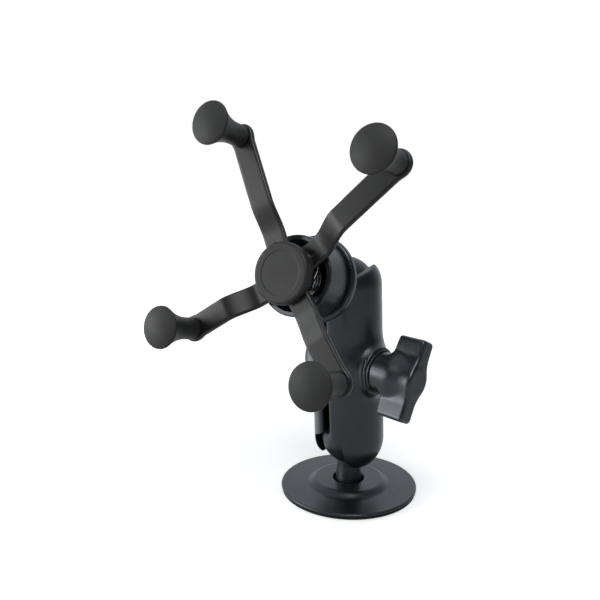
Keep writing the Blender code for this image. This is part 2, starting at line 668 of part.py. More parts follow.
# Plate screws through the plate into bosses in the drum
for i in range(SCREW_COUNT):
    turn = math.tau * i / SCREW_COUNT
    spot = (SCREW_CIRCLE_DIAMETER / 2 * math.cos(turn), SCREW_CIRCLE_DIAMETER / 2 * math.sin(turn), 0)
    shank_end = PLATE_BACK + SCREW_LENGTH
    head_back = PLATE_BACK - SEAT_GAP - SCREW_HEAD_HEIGHT
    shank = SCREW_DIAMETER / 2
    screw_profile = [
        (0, shank_end),
        (shank, shank_end),
        (shank, PLATE_BACK - SEAT_GAP),
        (SCREW_HEAD_DIAMETER / 2, PLATE_BACK - SEAT_GAP),
        (SCREW_HEAD_DIAMETER / 2, head_back + SCREW_HEAD_HEIGHT / 3),
        (SCREW_HEAD_DIAMETER / 3, head_back),
        (0, head_back),
    ]
    screw = turned(f"plate_screw_{i + 1}", screw_profile, cradle, spot, steps=TINY_STEPS)
    finish(screw, DARK_STEEL)
    boss_back = HOUSING_BACK + HOUSING_BACK_WALL / 2
    boss_front = floor + SCREW_BOSS_HEIGHT
    boss_name = f"add_screw_boss_{i + 1}"
    boss = rod(boss_name, SCREW_BOSS_DIAMETER / 2, boss_back, boss_front, cradle, spot, steps=TINY_STEPS)
    join(housing, as_helper(boss))
    hole_back = PLATE_BACK - PLATE_THICKNESS
    hole_front = shank_end + SEAT_GAP
    hole_name = f"cut_screw_hole_{i + 1}"
    hole = drill(hole_name, shank + SHAFT_GAP, hole_back, hole_front, cradle, spot, TINY_STEPS)
    cut(housing, hole)
    cut(ball_plate, hole)
finish(ball_plate, BLACK_COMPOSITE)

# Pivot: washers, and a bolt through the bars into the nut
washer_inner = pivot_clear + SHAFT_GAP
for name, back in (("rear_washer", REAR_WASHER_BACK), ("middle_washer", MIDDLE_WASHER_BACK)):
    finish(ring(name, washer_inner, WASHER_DIAMETER / 2, back, back + WASHER_THICKNESS, cradle), BRIGHT_STEEL)

head_back = FRONT_BAR_BACK + BAR_THICKNESS + RUNNING_GAP
head_front = head_back + PIVOT_HEAD_HEIGHT
pivot_profile = [
    (0, head_front),
    (PIVOT_HEAD_DIAMETER / 2, head_front),
    (PIVOT_HEAD_DIAMETER / 2, head_back),
    (PIVOT_DIAMETER / 2, head_back),
    (PIVOT_DIAMETER / 2, HOUSING_BACK + SEAT_GAP),
    (0, HOUSING_BACK + SEAT_GAP),
]
finish(turned("pivot_bolt", pivot_profile, cradle, steps=SMALL_STEPS), DARK_STEEL)

cap_radius = HUB_CAP_DIAMETER / 2
cap_front = HUB_CAP_BACK + HUB_CAP_HEIGHT
head_room = PIVOT_HEAD_DIAMETER / 2 + SEAT_GAP
hub_cap_profile = [(0, cap_front)]
hub_cap_profile += arc(cap_radius - HUB_CAP_ROUND, cap_front - HUB_CAP_ROUND, HUB_CAP_ROUND, 90, 0, 4)
hub_cap_profile += [(cap_radius, HUB_CAP_BACK), (head_room, HUB_CAP_BACK)]
hub_cap_profile += [(head_room, head_front + SEAT_GAP), (0, head_front + SEAT_GAP)]
finish(turned("hub_cap", hub_cap_profile, cradle, steps=MEDIUM_STEPS), BLACK_RUBBER)


# Bars: crossed strips whose arms step forward to the pegs
def strip(name, end, back, parent):
    """One arm of a bar from the pivot to a round end, as a loft of flat sections."""
    length = math.hypot(*end)
    along = Vector((end[0] / length, end[1] / length, 0))
    across = Vector((-along.y, along.x, 0))
    end_radius = BAR_END_DIAMETER / 2
    neck = math.sqrt(end_radius**2 - (BAR_WIDTH / 2) ** 2)
    stations = [(0.0, BAR_WIDTH / 2)]
    for i in range(BAR_STEP_RINGS + 1):
        stations.append((BAR_JOGGLE_START + BAR_JOGGLE_LENGTH * i / BAR_STEP_RINGS, BAR_WIDTH / 2))
    start = math.degrees(math.atan2(BAR_WIDTH / 2, -neck))
    for x, half in arc(0, 0, end_radius, start, 12, 8):
        stations.append((length + x, half))
    build = bmesh.new()
    rings = []
    for reach, half in stations:
        step = min(max((reach - BAR_JOGGLE_START) / BAR_JOGGLE_LENGTH, 0), 1)
        lift = (BAR_END_BACK - back) * step * step * (3 - 2 * step)
        middle = along * reach + Vector((0, 0, back + lift))
        rise_by = Vector((0, 0, BAR_THICKNESS))
        corners = (middle - across * half, middle + across * half)
        section = [corners[0], corners[1], corners[1] + rise_by, corners[0] + rise_by]
        rings.append([build.verts.new(corner) for corner in section])
    for first, second in zip(rings, rings[1:]):
        for i in range(4):
            build.faces.new((first[i], first[(i + 1) % 4], second[(i + 1) % 4], second[i]))
    build.faces.new(rings[0])
    build.faces.new(rings[-1])
    bmesh.ops.recalc_face_normals(build, faces=build.faces)
    mesh = bpy.data.meshes.new(name)
    build.to_mesh(mesh)
    build.free()
    return place(bpy.data.objects.new(name, mesh), parent)


def bar(name, ends, back, leg_end):
    """A bar: an eye on the pivot and an arm to each of its two pegs, with a hole for the spring's leg."""
    eye = rod(name, BAR_EYE_DIAMETER / 2, back, back + BAR_THICKNESS, cradle, steps=MEDIUM_STEPS)
    for end in ends:
        join(eye, as_helper(strip(f"add_{name}_{end}", PEG_PLACES[end], back, cradle)))
    reach = HOUSING_LENGTH
    cut(eye, drill(f"cut_{name}_pivot", pivot_clear, back - reach, back + reach, cradle))
    peg_clear = PEG_SHANK_DIAMETER / 2 + SHAFT_GAP
    for end in ends:
        spot = (*PEG_PLACES[end], 0)
        far = back + 2 * reach
        cut(eye, drill(f"cut_{name}_{end}", peg_clear, back - reach, far, cradle, spot, TINY_STEPS))
    leg_clear = GRIP_WIRE / 2 + SEAT_GAP
    spot = leg_spot(leg_end)
    cut(eye, drill(f"cut_{name}_leg", leg_clear, back - reach, back + reach, cradle, spot, TINY_STEPS))
    return finish(eye, DARK_STEEL)


def leg_angle(end):
    x, y = PEG_PLACES[end]
    return math.atan2(y, x)


def leg_spot(end):
    angle = leg_angle(end)
    return (GRIP_LEG_RADIUS * math.cos(angle), GRIP_LEG_RADIUS * math.sin(angle), 0)


bar("rear_bar", REAR_BAR_ENDS, REAR_BAR_BACK, REAR_BAR_ENDS[0])
bar("front_bar", FRONT_BAR_ENDS, FRONT_BAR_BACK, FRONT_BAR_ENDS[0])


# Grip spring: its rear leg reaches the front bar and its front leg the rear bar
def grip_leg(end, coil_angle, coil_height, tip):
    """Points from the coil outwards to the leg's radius, then round a bend and straight to the bar."""
    points = []
    angle = leg_angle(end)
    coil_radius = GRIP_COIL_DIAMETER / 2
    sweep = angle - coil_angle
    steps = 5
    for i in range(1, steps + 1):
        part = i / steps
        radius = coil_radius + (GRIP_LEG_RADIUS - GRIP_LEG_BEND - coil_radius) * part * part * (3 - 2 * part)
        at = coil_angle + sweep * part
        points.append(Vector((radius * math.cos(at), radius * math.sin(at), coil_height)))
    outwards = Vector((math.cos(angle), math.sin(angle), 0))
    for i in range(1, 4):
        bend = math.radians(30 * i)
        radius = GRIP_LEG_RADIUS - GRIP_LEG_BEND * (1 - math.sin(bend))
        height = coil_height + GRIP_LEG_BEND * (1 - math.cos(bend))
        points.append(outwards * radius + Vector((0, 0, height)))
    points.append(outwards * GRIP_LEG_RADIUS + Vector((0, 0, tip)))
    return points


def grip_spring_points():
    sweep = GRIP_LEG_SWEEP
    rear_end, front_end = FRONT_BAR_ENDS[0], REAR_BAR_ENDS[0]
    start = leg_angle(rear_end) + sweep
    stop = leg_angle(front_end) - sweep + (GRIP_CURLS + 1) * math.tau
    back = floor + GRIP_COIL_START
    radius = GRIP_COIL_DIAMETER / 2
    count = round(CURL_STEPS * (stop - start) / math.tau)
    points = list(reversed(grip_leg(rear_end, start, back, FRONT_BAR_BACK + BAR_THICKNESS / 2)))
    for i in range(count + 1):
        angle = start + (stop - start) * i / count
        height = back + GRIP_COIL_LENGTH * i / count
        points.append(Vector((radius * math.cos(angle), radius * math.sin(angle), height)))
    tip = REAR_BAR_BACK + BAR_THICKNESS / 2
    points += grip_leg(front_end, leg_angle(front_end) - sweep, back + GRIP_COIL_LENGTH, tip)
    return points


finish(wire("grip_spring", grip_spring_points(), GRIP_WIRE, cradle), BRIGHT_STEEL)


# Pegs riveted through the bars, and the rubber caps pushed over them
def peg(name, spot):
    shank = PEG_SHANK_DIAMETER / 2
    head = PEG_HEAD_DIAMETER / 2
    front = CAP_BACK + PEG_LENGTH
    head_front = BAR_END_BACK - SEAT_GAP / 2
    tip_round = PEG_DIAMETER / 4
    profile = [(0, front), *arc(PEG_DIAMETER / 2 - tip_round, front - tip_round, tip_round, 90, 0, 2)]
    profile += [(PEG_DIAMETER / 2, CAP_BACK - SEAT_GAP / 2), (shank, CAP_BACK - SEAT_GAP / 2)]
    profile += [(shank, head_front), (head, head_front)]
    head_back = head_front - PEG_HEAD_HEIGHT
    profile += arc(head - PEG_HEAD_ROUND, head_back + PEG_HEAD_ROUND, PEG_HEAD_ROUND, 0, -90, 3)
    profile += [(0, head_back)]
    return finish(turned(name, profile, cradle, spot, steps=TINY_STEPS), BLACK_COMPOSITE)


def peg_cap(name, spot):
    """A trumpet: straight stem, flare with a thin rim, and a crowned face."""
    stem = CAP_STEM_DIAMETER / 2
    flare = CAP_FLARE_DIAMETER / 2
    rim_back = CAP_BACK + CAP_LENGTH - CAP_RIM
    flare_start = CAP_BACK + CAP_STEM_LENGTH
    crown_radius = (flare**2 + CAP_FACE_CROWN**2) / (2 * CAP_FACE_CROWN)
    crown_half = math.degrees(math.asin((flare - CAP_RIM / 2) / crown_radius))
    crown_centre = rim_back + CAP_RIM / 2 + CAP_FACE_CROWN - crown_radius
    profile = arc(0, crown_centre, crown_radius, 90, 90 - crown_half, 3)
    profile[0] = (0, profile[0][1])
    profile += [(flare, rim_back + CAP_RIM / 2), (flare - CAP_RIM / 4, rim_back)]
    for i in range(1, CAP_FLARE_RINGS):
        part = 1 - i / CAP_FLARE_RINGS
        grown = (flare - CAP_RIM / 4 - stem) * part**CAP_FLARE_POWER
        profile.append((stem + grown, flare_start + (rim_back - flare_start) * part))
    bore = PEG_DIAMETER / 2 + SEAT_GAP
    bore_end = CAP_BACK + PEG_LENGTH + SEAT_GAP
    profile += [(stem, flare_start), (stem, CAP_BACK + CAP_RIM / 2), (stem - CAP_RIM / 2, CAP_BACK)]
    profile += [(bore, CAP_BACK), (bore, bore_end), (0, bore_end)]
    return finish(turned(name, profile, cradle, spot, steps=SMALL_STEPS), BLACK_RUBBER)


for label, (x, y) in PEG_PLACES.items():
    peg(f"peg_{label}", (x, y, 0))
    peg_cap(f"peg_cap_{label}", (x, y, 0))
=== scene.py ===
# %% [markdown]
# # A phone mount with a ball-jointed arm
#
# The real object is a small assembly. A round stick-on base carries a rubber-covered ball, two clamp shells
# squeeze that ball and a second one above it, and the upper ball carries a sprung cradle of crossed bars
# with four rubber pegs. This lesson loads the solids as a fixed frame, then dresses each piece in its
# photographed form and finish.

# %% Load the solids and keep their box
import math

import bpy
import numpy as np
from mathutils import Matrix, Vector


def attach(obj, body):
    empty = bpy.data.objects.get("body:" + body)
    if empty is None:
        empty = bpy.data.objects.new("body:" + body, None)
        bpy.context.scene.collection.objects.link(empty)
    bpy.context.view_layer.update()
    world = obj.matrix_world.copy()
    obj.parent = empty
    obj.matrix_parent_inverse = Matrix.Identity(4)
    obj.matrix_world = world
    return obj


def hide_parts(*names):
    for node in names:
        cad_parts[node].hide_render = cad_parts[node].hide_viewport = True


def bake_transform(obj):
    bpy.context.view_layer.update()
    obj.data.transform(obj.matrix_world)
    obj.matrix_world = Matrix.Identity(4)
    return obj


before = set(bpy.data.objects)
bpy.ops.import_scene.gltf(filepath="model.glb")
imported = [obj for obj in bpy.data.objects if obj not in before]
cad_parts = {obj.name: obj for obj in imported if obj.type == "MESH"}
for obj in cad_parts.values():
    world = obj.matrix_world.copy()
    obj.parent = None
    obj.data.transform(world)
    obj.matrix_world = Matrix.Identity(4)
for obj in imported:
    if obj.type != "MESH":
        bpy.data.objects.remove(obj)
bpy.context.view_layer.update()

# %% [markdown]
# ## The axes everything hangs on
#
# The arm leans a little forward and is turned about its own length, so that its clamp bolt points past the
# cradle towards the viewer. The cradle looks out along the upper ball's stud. Each of these is a matrix, so
# that a piece can be drawn flat on its own axes, in millimetres, and then be put in place once. Parented
# empties would do the same, but a finished piece has to sit at the origin with its place in its mesh.

# %% Axes of the arm, the clamp and the cradle
MM = 0.001
BALL_HEIGHT = 26.0
SOCKET_SPACING = 72.0
ARM_LEAN = 4.2
ARM_TURN = -15.0
CRADLE_LEAN_BACK = 12.5
CRADLE_ROLL = 9.4


def turn(degrees, axis):
    return Matrix.Rotation(math.radians(degrees), 4, axis)


def shift(x, y, z):
    return Matrix.Translation(Vector((x, y, z)) * MM)


BASE = Matrix.Identity(4)
LOWER_BALL = shift(0, 0, BALL_HEIGHT)
LEANING = LOWER_BALL @ turn(ARM_LEAN, "X")
ARM = LEANING @ turn(ARM_TURN, "Z")
CLAMP = ARM @ shift(0, 0, SOCKET_SPACING / 2) @ turn(90, "Y")
FACING = LEANING @ shift(0, 0, SOCKET_SPACING) @ turn(90 - CRADLE_LEAN_BACK - ARM_LEAN, "X")
CRADLE = FACING @ turn(-CRADLE_ROLL, "Z")
print("upper ball at", [round(v / MM, 2) for v in FACING.translation], "mm")

# %% [markdown]
# ## From points and faces to a piece
#
# Every piece becomes a plain mesh that rides on one body of the frame and stands for the solids it covers.
# Worn edges are the first thing that an eye looks for on black plastic, so each mesh also stores how sharply
# its surface turns outwards at each point. The finishes read that value later. Cycles has a pointiness output
# for this, but a stored value also survives an export.

# %% How sharply a surface turns
EDGE_RADIUS = 1.0
SMALLEST_SQUARE = 1e-9


def rows(items, label, width, kind=float):
    """One property of many mesh items, a row for each item."""
    values = np.empty(len(items) * width, kind)
    items.foreach_get(label, values)
    return values.reshape(-1, width)


def store_edges(mesh):
    """Stores 0 on flats, rising to 1 where the surface turns outwards in less than EDGE_RADIUS."""
    points = rows(mesh.vertices, "co", 3) / MM
    normals = rows(mesh.vertex_normals, "vector", 3)
    a, b = rows(mesh.edges, "vertices", 2, int).T
    step = points[a] - points[b]
    bend = ((normals[a] - normals[b]) * step).sum(1) / np.maximum((step**2).sum(1), SMALLEST_SQUARE)
    turning = np.zeros(len(points))
    np.maximum.at(turning, a, bend)
    np.maximum.at(turning, b, bend)
    value = np.clip(turning * EDGE_RADIUS, 0, 1)
    mesh.attributes.new("edge", "FLOAT", "POINT").data.foreach_set("value", value)


print("edges count as worn below a radius of", EDGE_RADIUS, "mm")

# %% A mesh in its place, and a piece on its body
SHARP_ANGLE = math.radians(50)


def facing_out(points, faces):
    """True where closed faces point outwards, because the volume inside them is then positive."""
    volume = 0.0
    for face in faces:
        first = points[face[0]]
        for second, third in zip(face[1:], face[2:]):
            volume += np.dot(first, np.cross(points[second], points[third]))
    return volume > 0


def new_mesh(name, points, faces, place):
    """A smooth mesh from points in millimetres on a piece's own axes."""
    points = np.asarray(points, float)
    if not facing_out(points, faces):
        faces = [tuple(reversed(face)) for face in faces]
    rotation = np.array(place.to_3x3())
    world = points * MM @ rotation.T + np.array(place.translation)
    mesh = bpy.data.meshes.new(name)
    mesh.from_pydata(world.tolist(), [], [tuple(map(int, face)) for face in faces])
    mesh.shade_smooth()
    mesh.set_sharp_from_angle(angle=SHARP_ANGLE)
    store_edges(mesh)
    return mesh


def placed(name, data):
    """A new object, linked to the scene."""
    obj = bpy.data.objects.new(name, data)
    bpy.context.scene.collection.objects.link(obj)
    return obj


def piece(mesh, finish, body, *nodes):
    """Puts a mesh in the scene with its finish, riding on a body in the place of CAD nodes."""
    obj = placed(mesh.name, mesh)
    mesh.materials.clear()
    mesh.materials.append(finish)
    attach(obj, body)
    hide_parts(*nodes)
    return obj


def faces_of(*pieces):
    return " and ".join(str(len(obj.data.polygons)) for obj in pieces) + " faces"


print("edges bent by more than", round(math.degrees(SHARP_ANGLE)), "degrees stay sharp")

# %% [markdown]
# ## Effects that several finishes share
#
# Black composite, rubber and coated steel differ in colour and gloss, but all of them show the same three
# things from close up: a fine grain from the mould or the coating, corners rubbed paler by handling, and
# faint patches where fingers have been. Each effect could be drawn in every finish again. As a node group
# with its own inputs it is built once, and a finish only sets its strengths.

# %% Node helpers
def new_group(name, inputs, outputs):
    """A shader group with float inputs (label, value) and float outputs, and its sockets inside."""
    group = bpy.data.node_groups.new(name, "ShaderNodeTree")
    for label, value in inputs:
        socket = group.interface.new_socket(label, in_out="INPUT", socket_type="NodeSocketFloat")
        socket.default_value = value
    for label in outputs:
        group.interface.new_socket(label, in_out="OUTPUT", socket_type="NodeSocketFloat")
    return group, group.nodes.new("NodeGroupInput").outputs, group.nodes.new("NodeGroupOutput").inputs


def add(tree, kind, **values):
    """A node with its properties and its inputs, which start with in_. A socket as a value is linked."""
    node = tree.nodes.new(kind)
    for label, value in values.items():
        if not label.startswith("in_"):
            setattr(node, label, value)
            continue
        key = label.removeprefix("in_")
        socket = node.inputs[int(key)] if key.isdigit() else node.inputs[key.replace("_", " ")]
        if isinstance(value, bpy.types.NodeSocket):
            tree.links.new(value, socket)
        else:
            socket.default_value = value
    return node


def maths(tree, operation, *values):
    inputs = {f"in_{i}": value for i, value in enumerate(values)}
    return add(tree, "ShaderNodeMath", operation=operation, **inputs).outputs[0]


def spread(tree, value, low, high, first, last):
    """Carries low to high over to first to last, and holds the value at both ends."""
    node = add(tree, "ShaderNodeMapRange", in_0=value, in_1=low, in_2=high, in_3=first, in_4=last)
    return node.outputs[0]


def fade(tree, value, low, high):
    """A smooth rise from 0 at low to 1 at high."""
    rise = {"in_0": value, "in_1": low, "in_2": high}
    return add(tree, "ShaderNodeMapRange", interpolation_type="SMOOTHSTEP", **rise).outputs[0]


def noise(tree, size_mm, **settings):
    """Noise on the piece's own coordinates, with patches of a size in millimetres."""
    where = add(tree, "ShaderNodeTexCoord").outputs["Object"]
    scale = maths(tree, "DIVIDE", 1 / MM, size_mm)
    return add(tree, "ShaderNodeTexNoise", in_Vector=where, in_Scale=scale, **settings).outputs[0]


print("helpers for nodes ready")

# %% Grain of a mould or a coating
grain_group, given, out = new_group(
    "surface_grain", (("Size mm", 0.4), ("Mottle mm", 14.0)), ("Height", "Mottle")
)
fine = noise(grain_group, given["Size mm"], in_Detail=2.0, in_Roughness=0.6)
broad = noise(grain_group, given["Mottle mm"], in_Detail=4.0, in_Roughness=0.55)
grain_group.links.new(fine, out["Height"])
grain_group.links.new(broad, out["Mottle"])
print("group", grain_group.name, "puts out", [socket.name for socket in out if socket.name])

# %% Corners rubbed by handling
rub_group, given, out = new_group("rubbed_edges", (("Amount", 0.6), ("Patch mm", 3.0)), ("Mask",))
edge = add(rub_group, "ShaderNodeAttribute", attribute_name="edge").outputs["Fac"]
on_edge = fade(rub_group, edge, 0.22, 0.9)
patches = noise(rub_group, given["Patch mm"], in_Detail=5.0, in_Roughness=0.7)
broken = fade(rub_group, patches, 0.3, 0.72)
mask = maths(rub_group, "MULTIPLY", on_edge, broken)
mask = maths(rub_group, "MULTIPLY", mask, given["Amount"])
rub_group.links.new(mask, out["Mask"])
print("group", rub_group.name, "reads the stored edge value")

# %% Patches left by fingers
touch_group, given, out = new_group("finger_marks", (("Amount", 0.12), ("Size mm", 9.0)), ("Gloss",))
smear = noise(touch_group, given["Size mm"], in_Detail=3.0, in_Distortion=1.2)
marks = fade(touch_group, smear, 0.42, 0.7)
touch_group.links.new(maths(touch_group, "MULTIPLY", marks, given["Amount"]), out["Gloss"])
print("group", touch_group.name, "puts out a gloss mask")

# %% [markdown]
# ## Finishes
#
# A finish is one Principled BSDF. Its colour runs between a body colour and the paler colour of a rubbed
# corner, its roughness rises and falls with the mottling and the finger marks, and the grain becomes a bump.
# Painted textures could hold all this, but the same recipe with other numbers gives moulded composite,
# rubber, powder-coated steel and plated steel.

# %% One recipe for all finishes
COOL = (0.84, 0.91, 1.0)
NEUTRAL = (1.0, 1.0, 1.0)
NOISE_SPAN = (0.3, 0.7)
RUB_POLISH = 0.08


def new_finish(
    name, body, rubbed, rough, metal=0.0, grain=(0.4, 0.03), mottle=(14.0, 0.10), rub=0.5, touch=0.1,
    shine=0.5, tint=NEUTRAL,
):
    """body and rubbed are linear colours, grain is (size, depth) and mottle (size, amount), in millimetres.
    shine is the strength of the surface reflection and tint its colour."""
    material = bpy.data.materials.new(name)
    material.use_nodes = True
    tree = material.node_tree
    shader = tree.nodes["Principled BSDF"].inputs
    surface_grain = {"in_Size_mm": grain[0], "in_Mottle_mm": mottle[0]}
    texture = add(tree, "ShaderNodeGroup", node_tree=grain_group, **surface_grain).outputs
    worn = add(tree, "ShaderNodeGroup", node_tree=rub_group, in_Amount=rub).outputs["Mask"]
    marks = add(tree, "ShaderNodeGroup", node_tree=touch_group, in_Amount=touch).outputs["Gloss"]
    swing = spread(tree, texture["Mottle"], *NOISE_SPAN, 1 - mottle[1], 1 + mottle[1])
    tone = add(tree, "ShaderNodeVectorMath", operation="SCALE", in_0=body, in_Scale=swing).outputs[0]
    colours = {"in_0": worn, "in_6": tone, "in_7": (*rubbed, 1.0)}
    colour = add(tree, "ShaderNodeMix", data_type="RGBA", **colours)
    tree.links.new(colour.outputs[2], shader["Base Color"])
    gloss = maths(tree, "SUBTRACT", maths(tree, "MULTIPLY", swing, rough), marks)
    gloss = maths(tree, "SUBTRACT", gloss, maths(tree, "MULTIPLY", worn, RUB_POLISH))
    tree.links.new(gloss, shader["Roughness"])
    shader["Metallic"].default_value = metal
    shader["Specular IOR Level"].default_value = shine
    shader["Specular Tint"].default_value = (*tint, 1.0)
    depth = grain[1] * MM
    bump = add(tree, "ShaderNodeBump", in_Strength=1.0, in_Distance=depth, in_Height=texture["Height"])
    tree.links.new(bump.outputs[0], shader["Normal"])
    return material


print("rubbed corners are smoother by", RUB_POLISH)

# %% Nine finishes
RUBBED_COMPOSITE = (0.026, 0.028, 0.031)
COMPOSITE = new_finish(
    "black_composite", (0.0070, 0.0080, 0.0095), RUBBED_COMPOSITE, 0.34, touch=0.05, shine=0.62, tint=COOL
)
BASE_COMPOSITE = new_finish(
    "base_composite", (0.0060, 0.0068, 0.0080), RUBBED_COMPOSITE, 0.33, grain=(0.35, 0.012),
    touch=0.04, shine=0.55, tint=COOL,
)
RUBBER = new_finish(
    "cap_rubber", (0.0140, 0.0140, 0.0141), (0.030, 0.030, 0.030), 0.58, grain=(0.3, 0.02),
    rub=0.3, touch=0.04, shine=0.28,
)
BALL_RUBBER = new_finish(
    "ball_rubber", (0.0080, 0.0088, 0.0098), (0.024, 0.025, 0.026), 0.38, grain=(0.3, 0.012),
    rub=0.3, touch=0.05, shine=0.55, tint=COOL,
)
COATED_STEEL = new_finish(
    "powder_coated_steel", (0.0065, 0.0065, 0.0070), (0.034, 0.034, 0.035), 0.40, grain=(0.9, 0.012),
    mottle=(22.0, 0.03), rub=0.3, touch=0.02, shine=0.32,
)
PLATED_STEEL = new_finish(
    "plated_steel", (0.56, 0.57, 0.59), (0.72, 0.72, 0.73), 0.30, metal=1.0, grain=(0.25, 0.006),
    mottle=(5.0, 0.10), touch=0.05,
)
BLACK_OXIDE = new_finish(
    "black_oxide", (0.020, 0.020, 0.021), (0.085, 0.085, 0.086), 0.42, metal=0.6, grain=(0.3, 0.01),
    mottle=(4.0, 0.15), touch=0.05,
)
BRASS = new_finish(
    "turned_brass", (0.62, 0.44, 0.17), (0.75, 0.56, 0.26), 0.32, metal=1.0, grain=(0.3, 0.008),
    mottle=(5.0, 0.10), rub=0.4, touch=0.05,
)
ADHESIVE = new_finish(
    "foam_adhesive", (0.014, 0.014, 0.0145), (0.03, 0.03, 0.03), 0.85, grain=(0.6, 0.10),
    mottle=(6.0, 0.06), rub=0.1, shine=0.2,
)
moulded_finishes = (COMPOSITE, BASE_COMPOSITE, RUBBER, BALL_RUBBER, ADHESIVE)
metal_finishes = (COATED_STEEL, PLATED_STEEL, BLACK_OXIDE, BRASS)
print("finishes:", [finish.name for finish in moulded_finishes + metal_finishes])

# %% [markdown]
# ## Turned pieces
#
# The base, the balls, the plate and the washers are all round, so each is a profile carried round an axis.
# The corners of a profile get a real radius, because a moulded or turned edge always catches a thin line of
# light. Blender's Screw modifier would also turn a profile; plain code keeps the poles closed and puts every
# point in place at once.

# %% Profiles with rounded corners and arcs
ARC_STEP = 15
LEAD_IN = 0.25


def rounded(corners, closed=False):
    """Points along (r, z, fillet) corners with every fillet drawn as an arc."""
    points = []
    count = len(corners)
    for i, (r, z, fillet) in enumerate(corners):
        here = np.array([r, z])
        if fillet <= 0 or (not closed and i in (0, count - 1)):
            points.append(here)
            continue
        before = np.array(corners[i - 1][:2]) - here
        after = np.array(corners[(i + 1) % count][:2]) - here
        before /= np.linalg.norm(before)
        after /= np.linalg.norm(after)
        half = math.acos(max(-1, min(1, float(before @ after)))) / 2
        reach = fillet / math.tan(half)
        middle = here + (before + after) / np.linalg.norm(before + after) * fillet / math.sin(half)
        start = here + before * reach - middle
        stop = here + after * reach - middle
        sweep = math.pi - 2 * half
        steps = max(3, round(math.degrees(sweep) / ARC_STEP))
        points.append(middle + start + before * LEAD_IN * fillet)
        for k in range(steps + 1):
            a = math.sin(sweep * (1 - k / steps)) / math.sin(sweep)
            b = math.sin(sweep * k / steps) / math.sin(sweep)
            points.append(middle + start * a + stop * b)
        points.append(middle + stop + after * LEAD_IN * fillet)
    return points


def arc(radius, start, stop, count):
    """Points round the middle, from one angle to another."""
    return [(radius * math.cos(a), radius * math.sin(a)) for a in np.linspace(start, stop, count)]


print("a fillet has a point every", ARC_STEP, "degrees")

# %% The lathe
ON_AXIS = 1e-6
LATHE_STEPS = 120


def lathe(profile, closed=False, steps=LATHE_STEPS):
    """Points and faces of a profile turned about Z, with one point where it meets the axis."""
    points, rings, faces = [], [], []
    for r, z in profile:
        count = 1 if r < ON_AXIS else steps
        rings.append(range(len(points), len(points) + count))
        for k in range(count):
            angle = math.tau * k / steps
            points.append((r * math.cos(angle), r * math.sin(angle), z))
    pairs = list(zip(rings, rings[1:])) + ([(rings[-1], rings[0])] if closed else [])
    for upper, lower in pairs:
        for k in range(steps):
            n = (k + 1) % steps
            corners = ((lower, k), (lower, n), (upper, n), (upper, k))
            face = list(dict.fromkeys(ring[i % len(ring)] for ring, i in corners))
            if len(face) > 2:
                faces.append(face)
    return points, faces


def turned(name, profile, place, finish, body, node, closed=False, steps=LATHE_STEPS):
    return piece(new_mesh(name, *lathe(profile, closed, steps), place), finish, body, node)


print("the lathe makes", LATHE_STEPS, "steps to the turn")

# %% [markdown]
# ### The stick-on base
#
# A thin composite disc on a foam pad. In the photograph its top swells softly to a low platform round the
# post, with no hard step anywhere. Bevels would leave steps, so the profile's height follows a smooth ramp.

# %% Base disc and adhesive pad
BASE_RADIUS = 31.75
BASE_UNDERSIDE = 1.05
BASE_STEPS = 160
RIM_THICKNESS = 1.5
RIM_STEPS = 12
DISC_RISE = 0.25
DISC_SLOPE = (19.0, 31.0)
PLATFORM_TOP = 4.95
PLATFORM_SLOPE = (15.3, 19.3)
POST_HOLE = 7.3
HOLE_ROUND = 0.6
HOLE_BREAK = 0.18
FLANGE_ROOM = 13.6
FLANGE_ROOF = 2.95
PAD_RADIUS = 31.35
PAD_THICKNESS = 0.8
PAD_ROUND = 0.2


def ramp(value, start, stop):
    part = np.clip((value - start) / (stop - start), 0, 1)
    return part * part * (3 - 2 * part)


def base_top(radius):
    rim_top = BASE_UNDERSIDE + RIM_THICKNESS
    platform = (PLATFORM_TOP - rim_top - DISC_RISE) * (1 - ramp(radius, *PLATFORM_SLOPE))
    return rim_top + platform + DISC_RISE * (1 - ramp(radius, *DISC_SLOPE))


edge_round = RIM_THICKNESS / 2
edge_middle = BASE_RADIUS - edge_round
profile = [(POST_HOLE, PLATFORM_TOP - HOLE_ROUND), (POST_HOLE + HOLE_BREAK, PLATFORM_TOP - HOLE_BREAK)]
profile += [(r, base_top(r)) for r in np.linspace(POST_HOLE + HOLE_ROUND, edge_middle, 60)]
for across, up in arc(edge_round, math.pi / 2, -math.pi / 2, RIM_STEPS + 1)[1:]:
    profile.append((edge_middle + across, BASE_UNDERSIDE + edge_round + up))
profile += [(FLANGE_ROOM, BASE_UNDERSIDE), (FLANGE_ROOM, FLANGE_ROOF), (POST_HOLE, FLANGE_ROOF)]
base_disc = turned(
    "base_disc_moulding", profile, BASE, BASE_COMPOSITE, "base", "base_disc", closed=True, steps=BASE_STEPS
)
pad_corners = [
    (0, PAD_THICKNESS, 0), (PAD_RADIUS, PAD_THICKNESS, PAD_ROUND), (PAD_RADIUS, 0, PAD_ROUND), (0, 0, 0),
]
pad = turned("foam_pad", rounded(pad_corners), BASE, ADHESIVE, "base", "adhesive_pad", steps=BASE_STEPS)
print("base and pad:", faces_of(base_disc, pad))

# %% [markdown]
# ### Ball studs and their rubber
#
# Both balls are the same: a composite core with a neck, and a rubber skin moulded over it that grips in the
# socket. The neck is narrowest just under the ball, so that it can swing in the shell's slot, and widens
# evenly to its foot. The upper one ends in a round plate. A sphere and a cone could be joined for this, but
# one profile gives the join its radius.

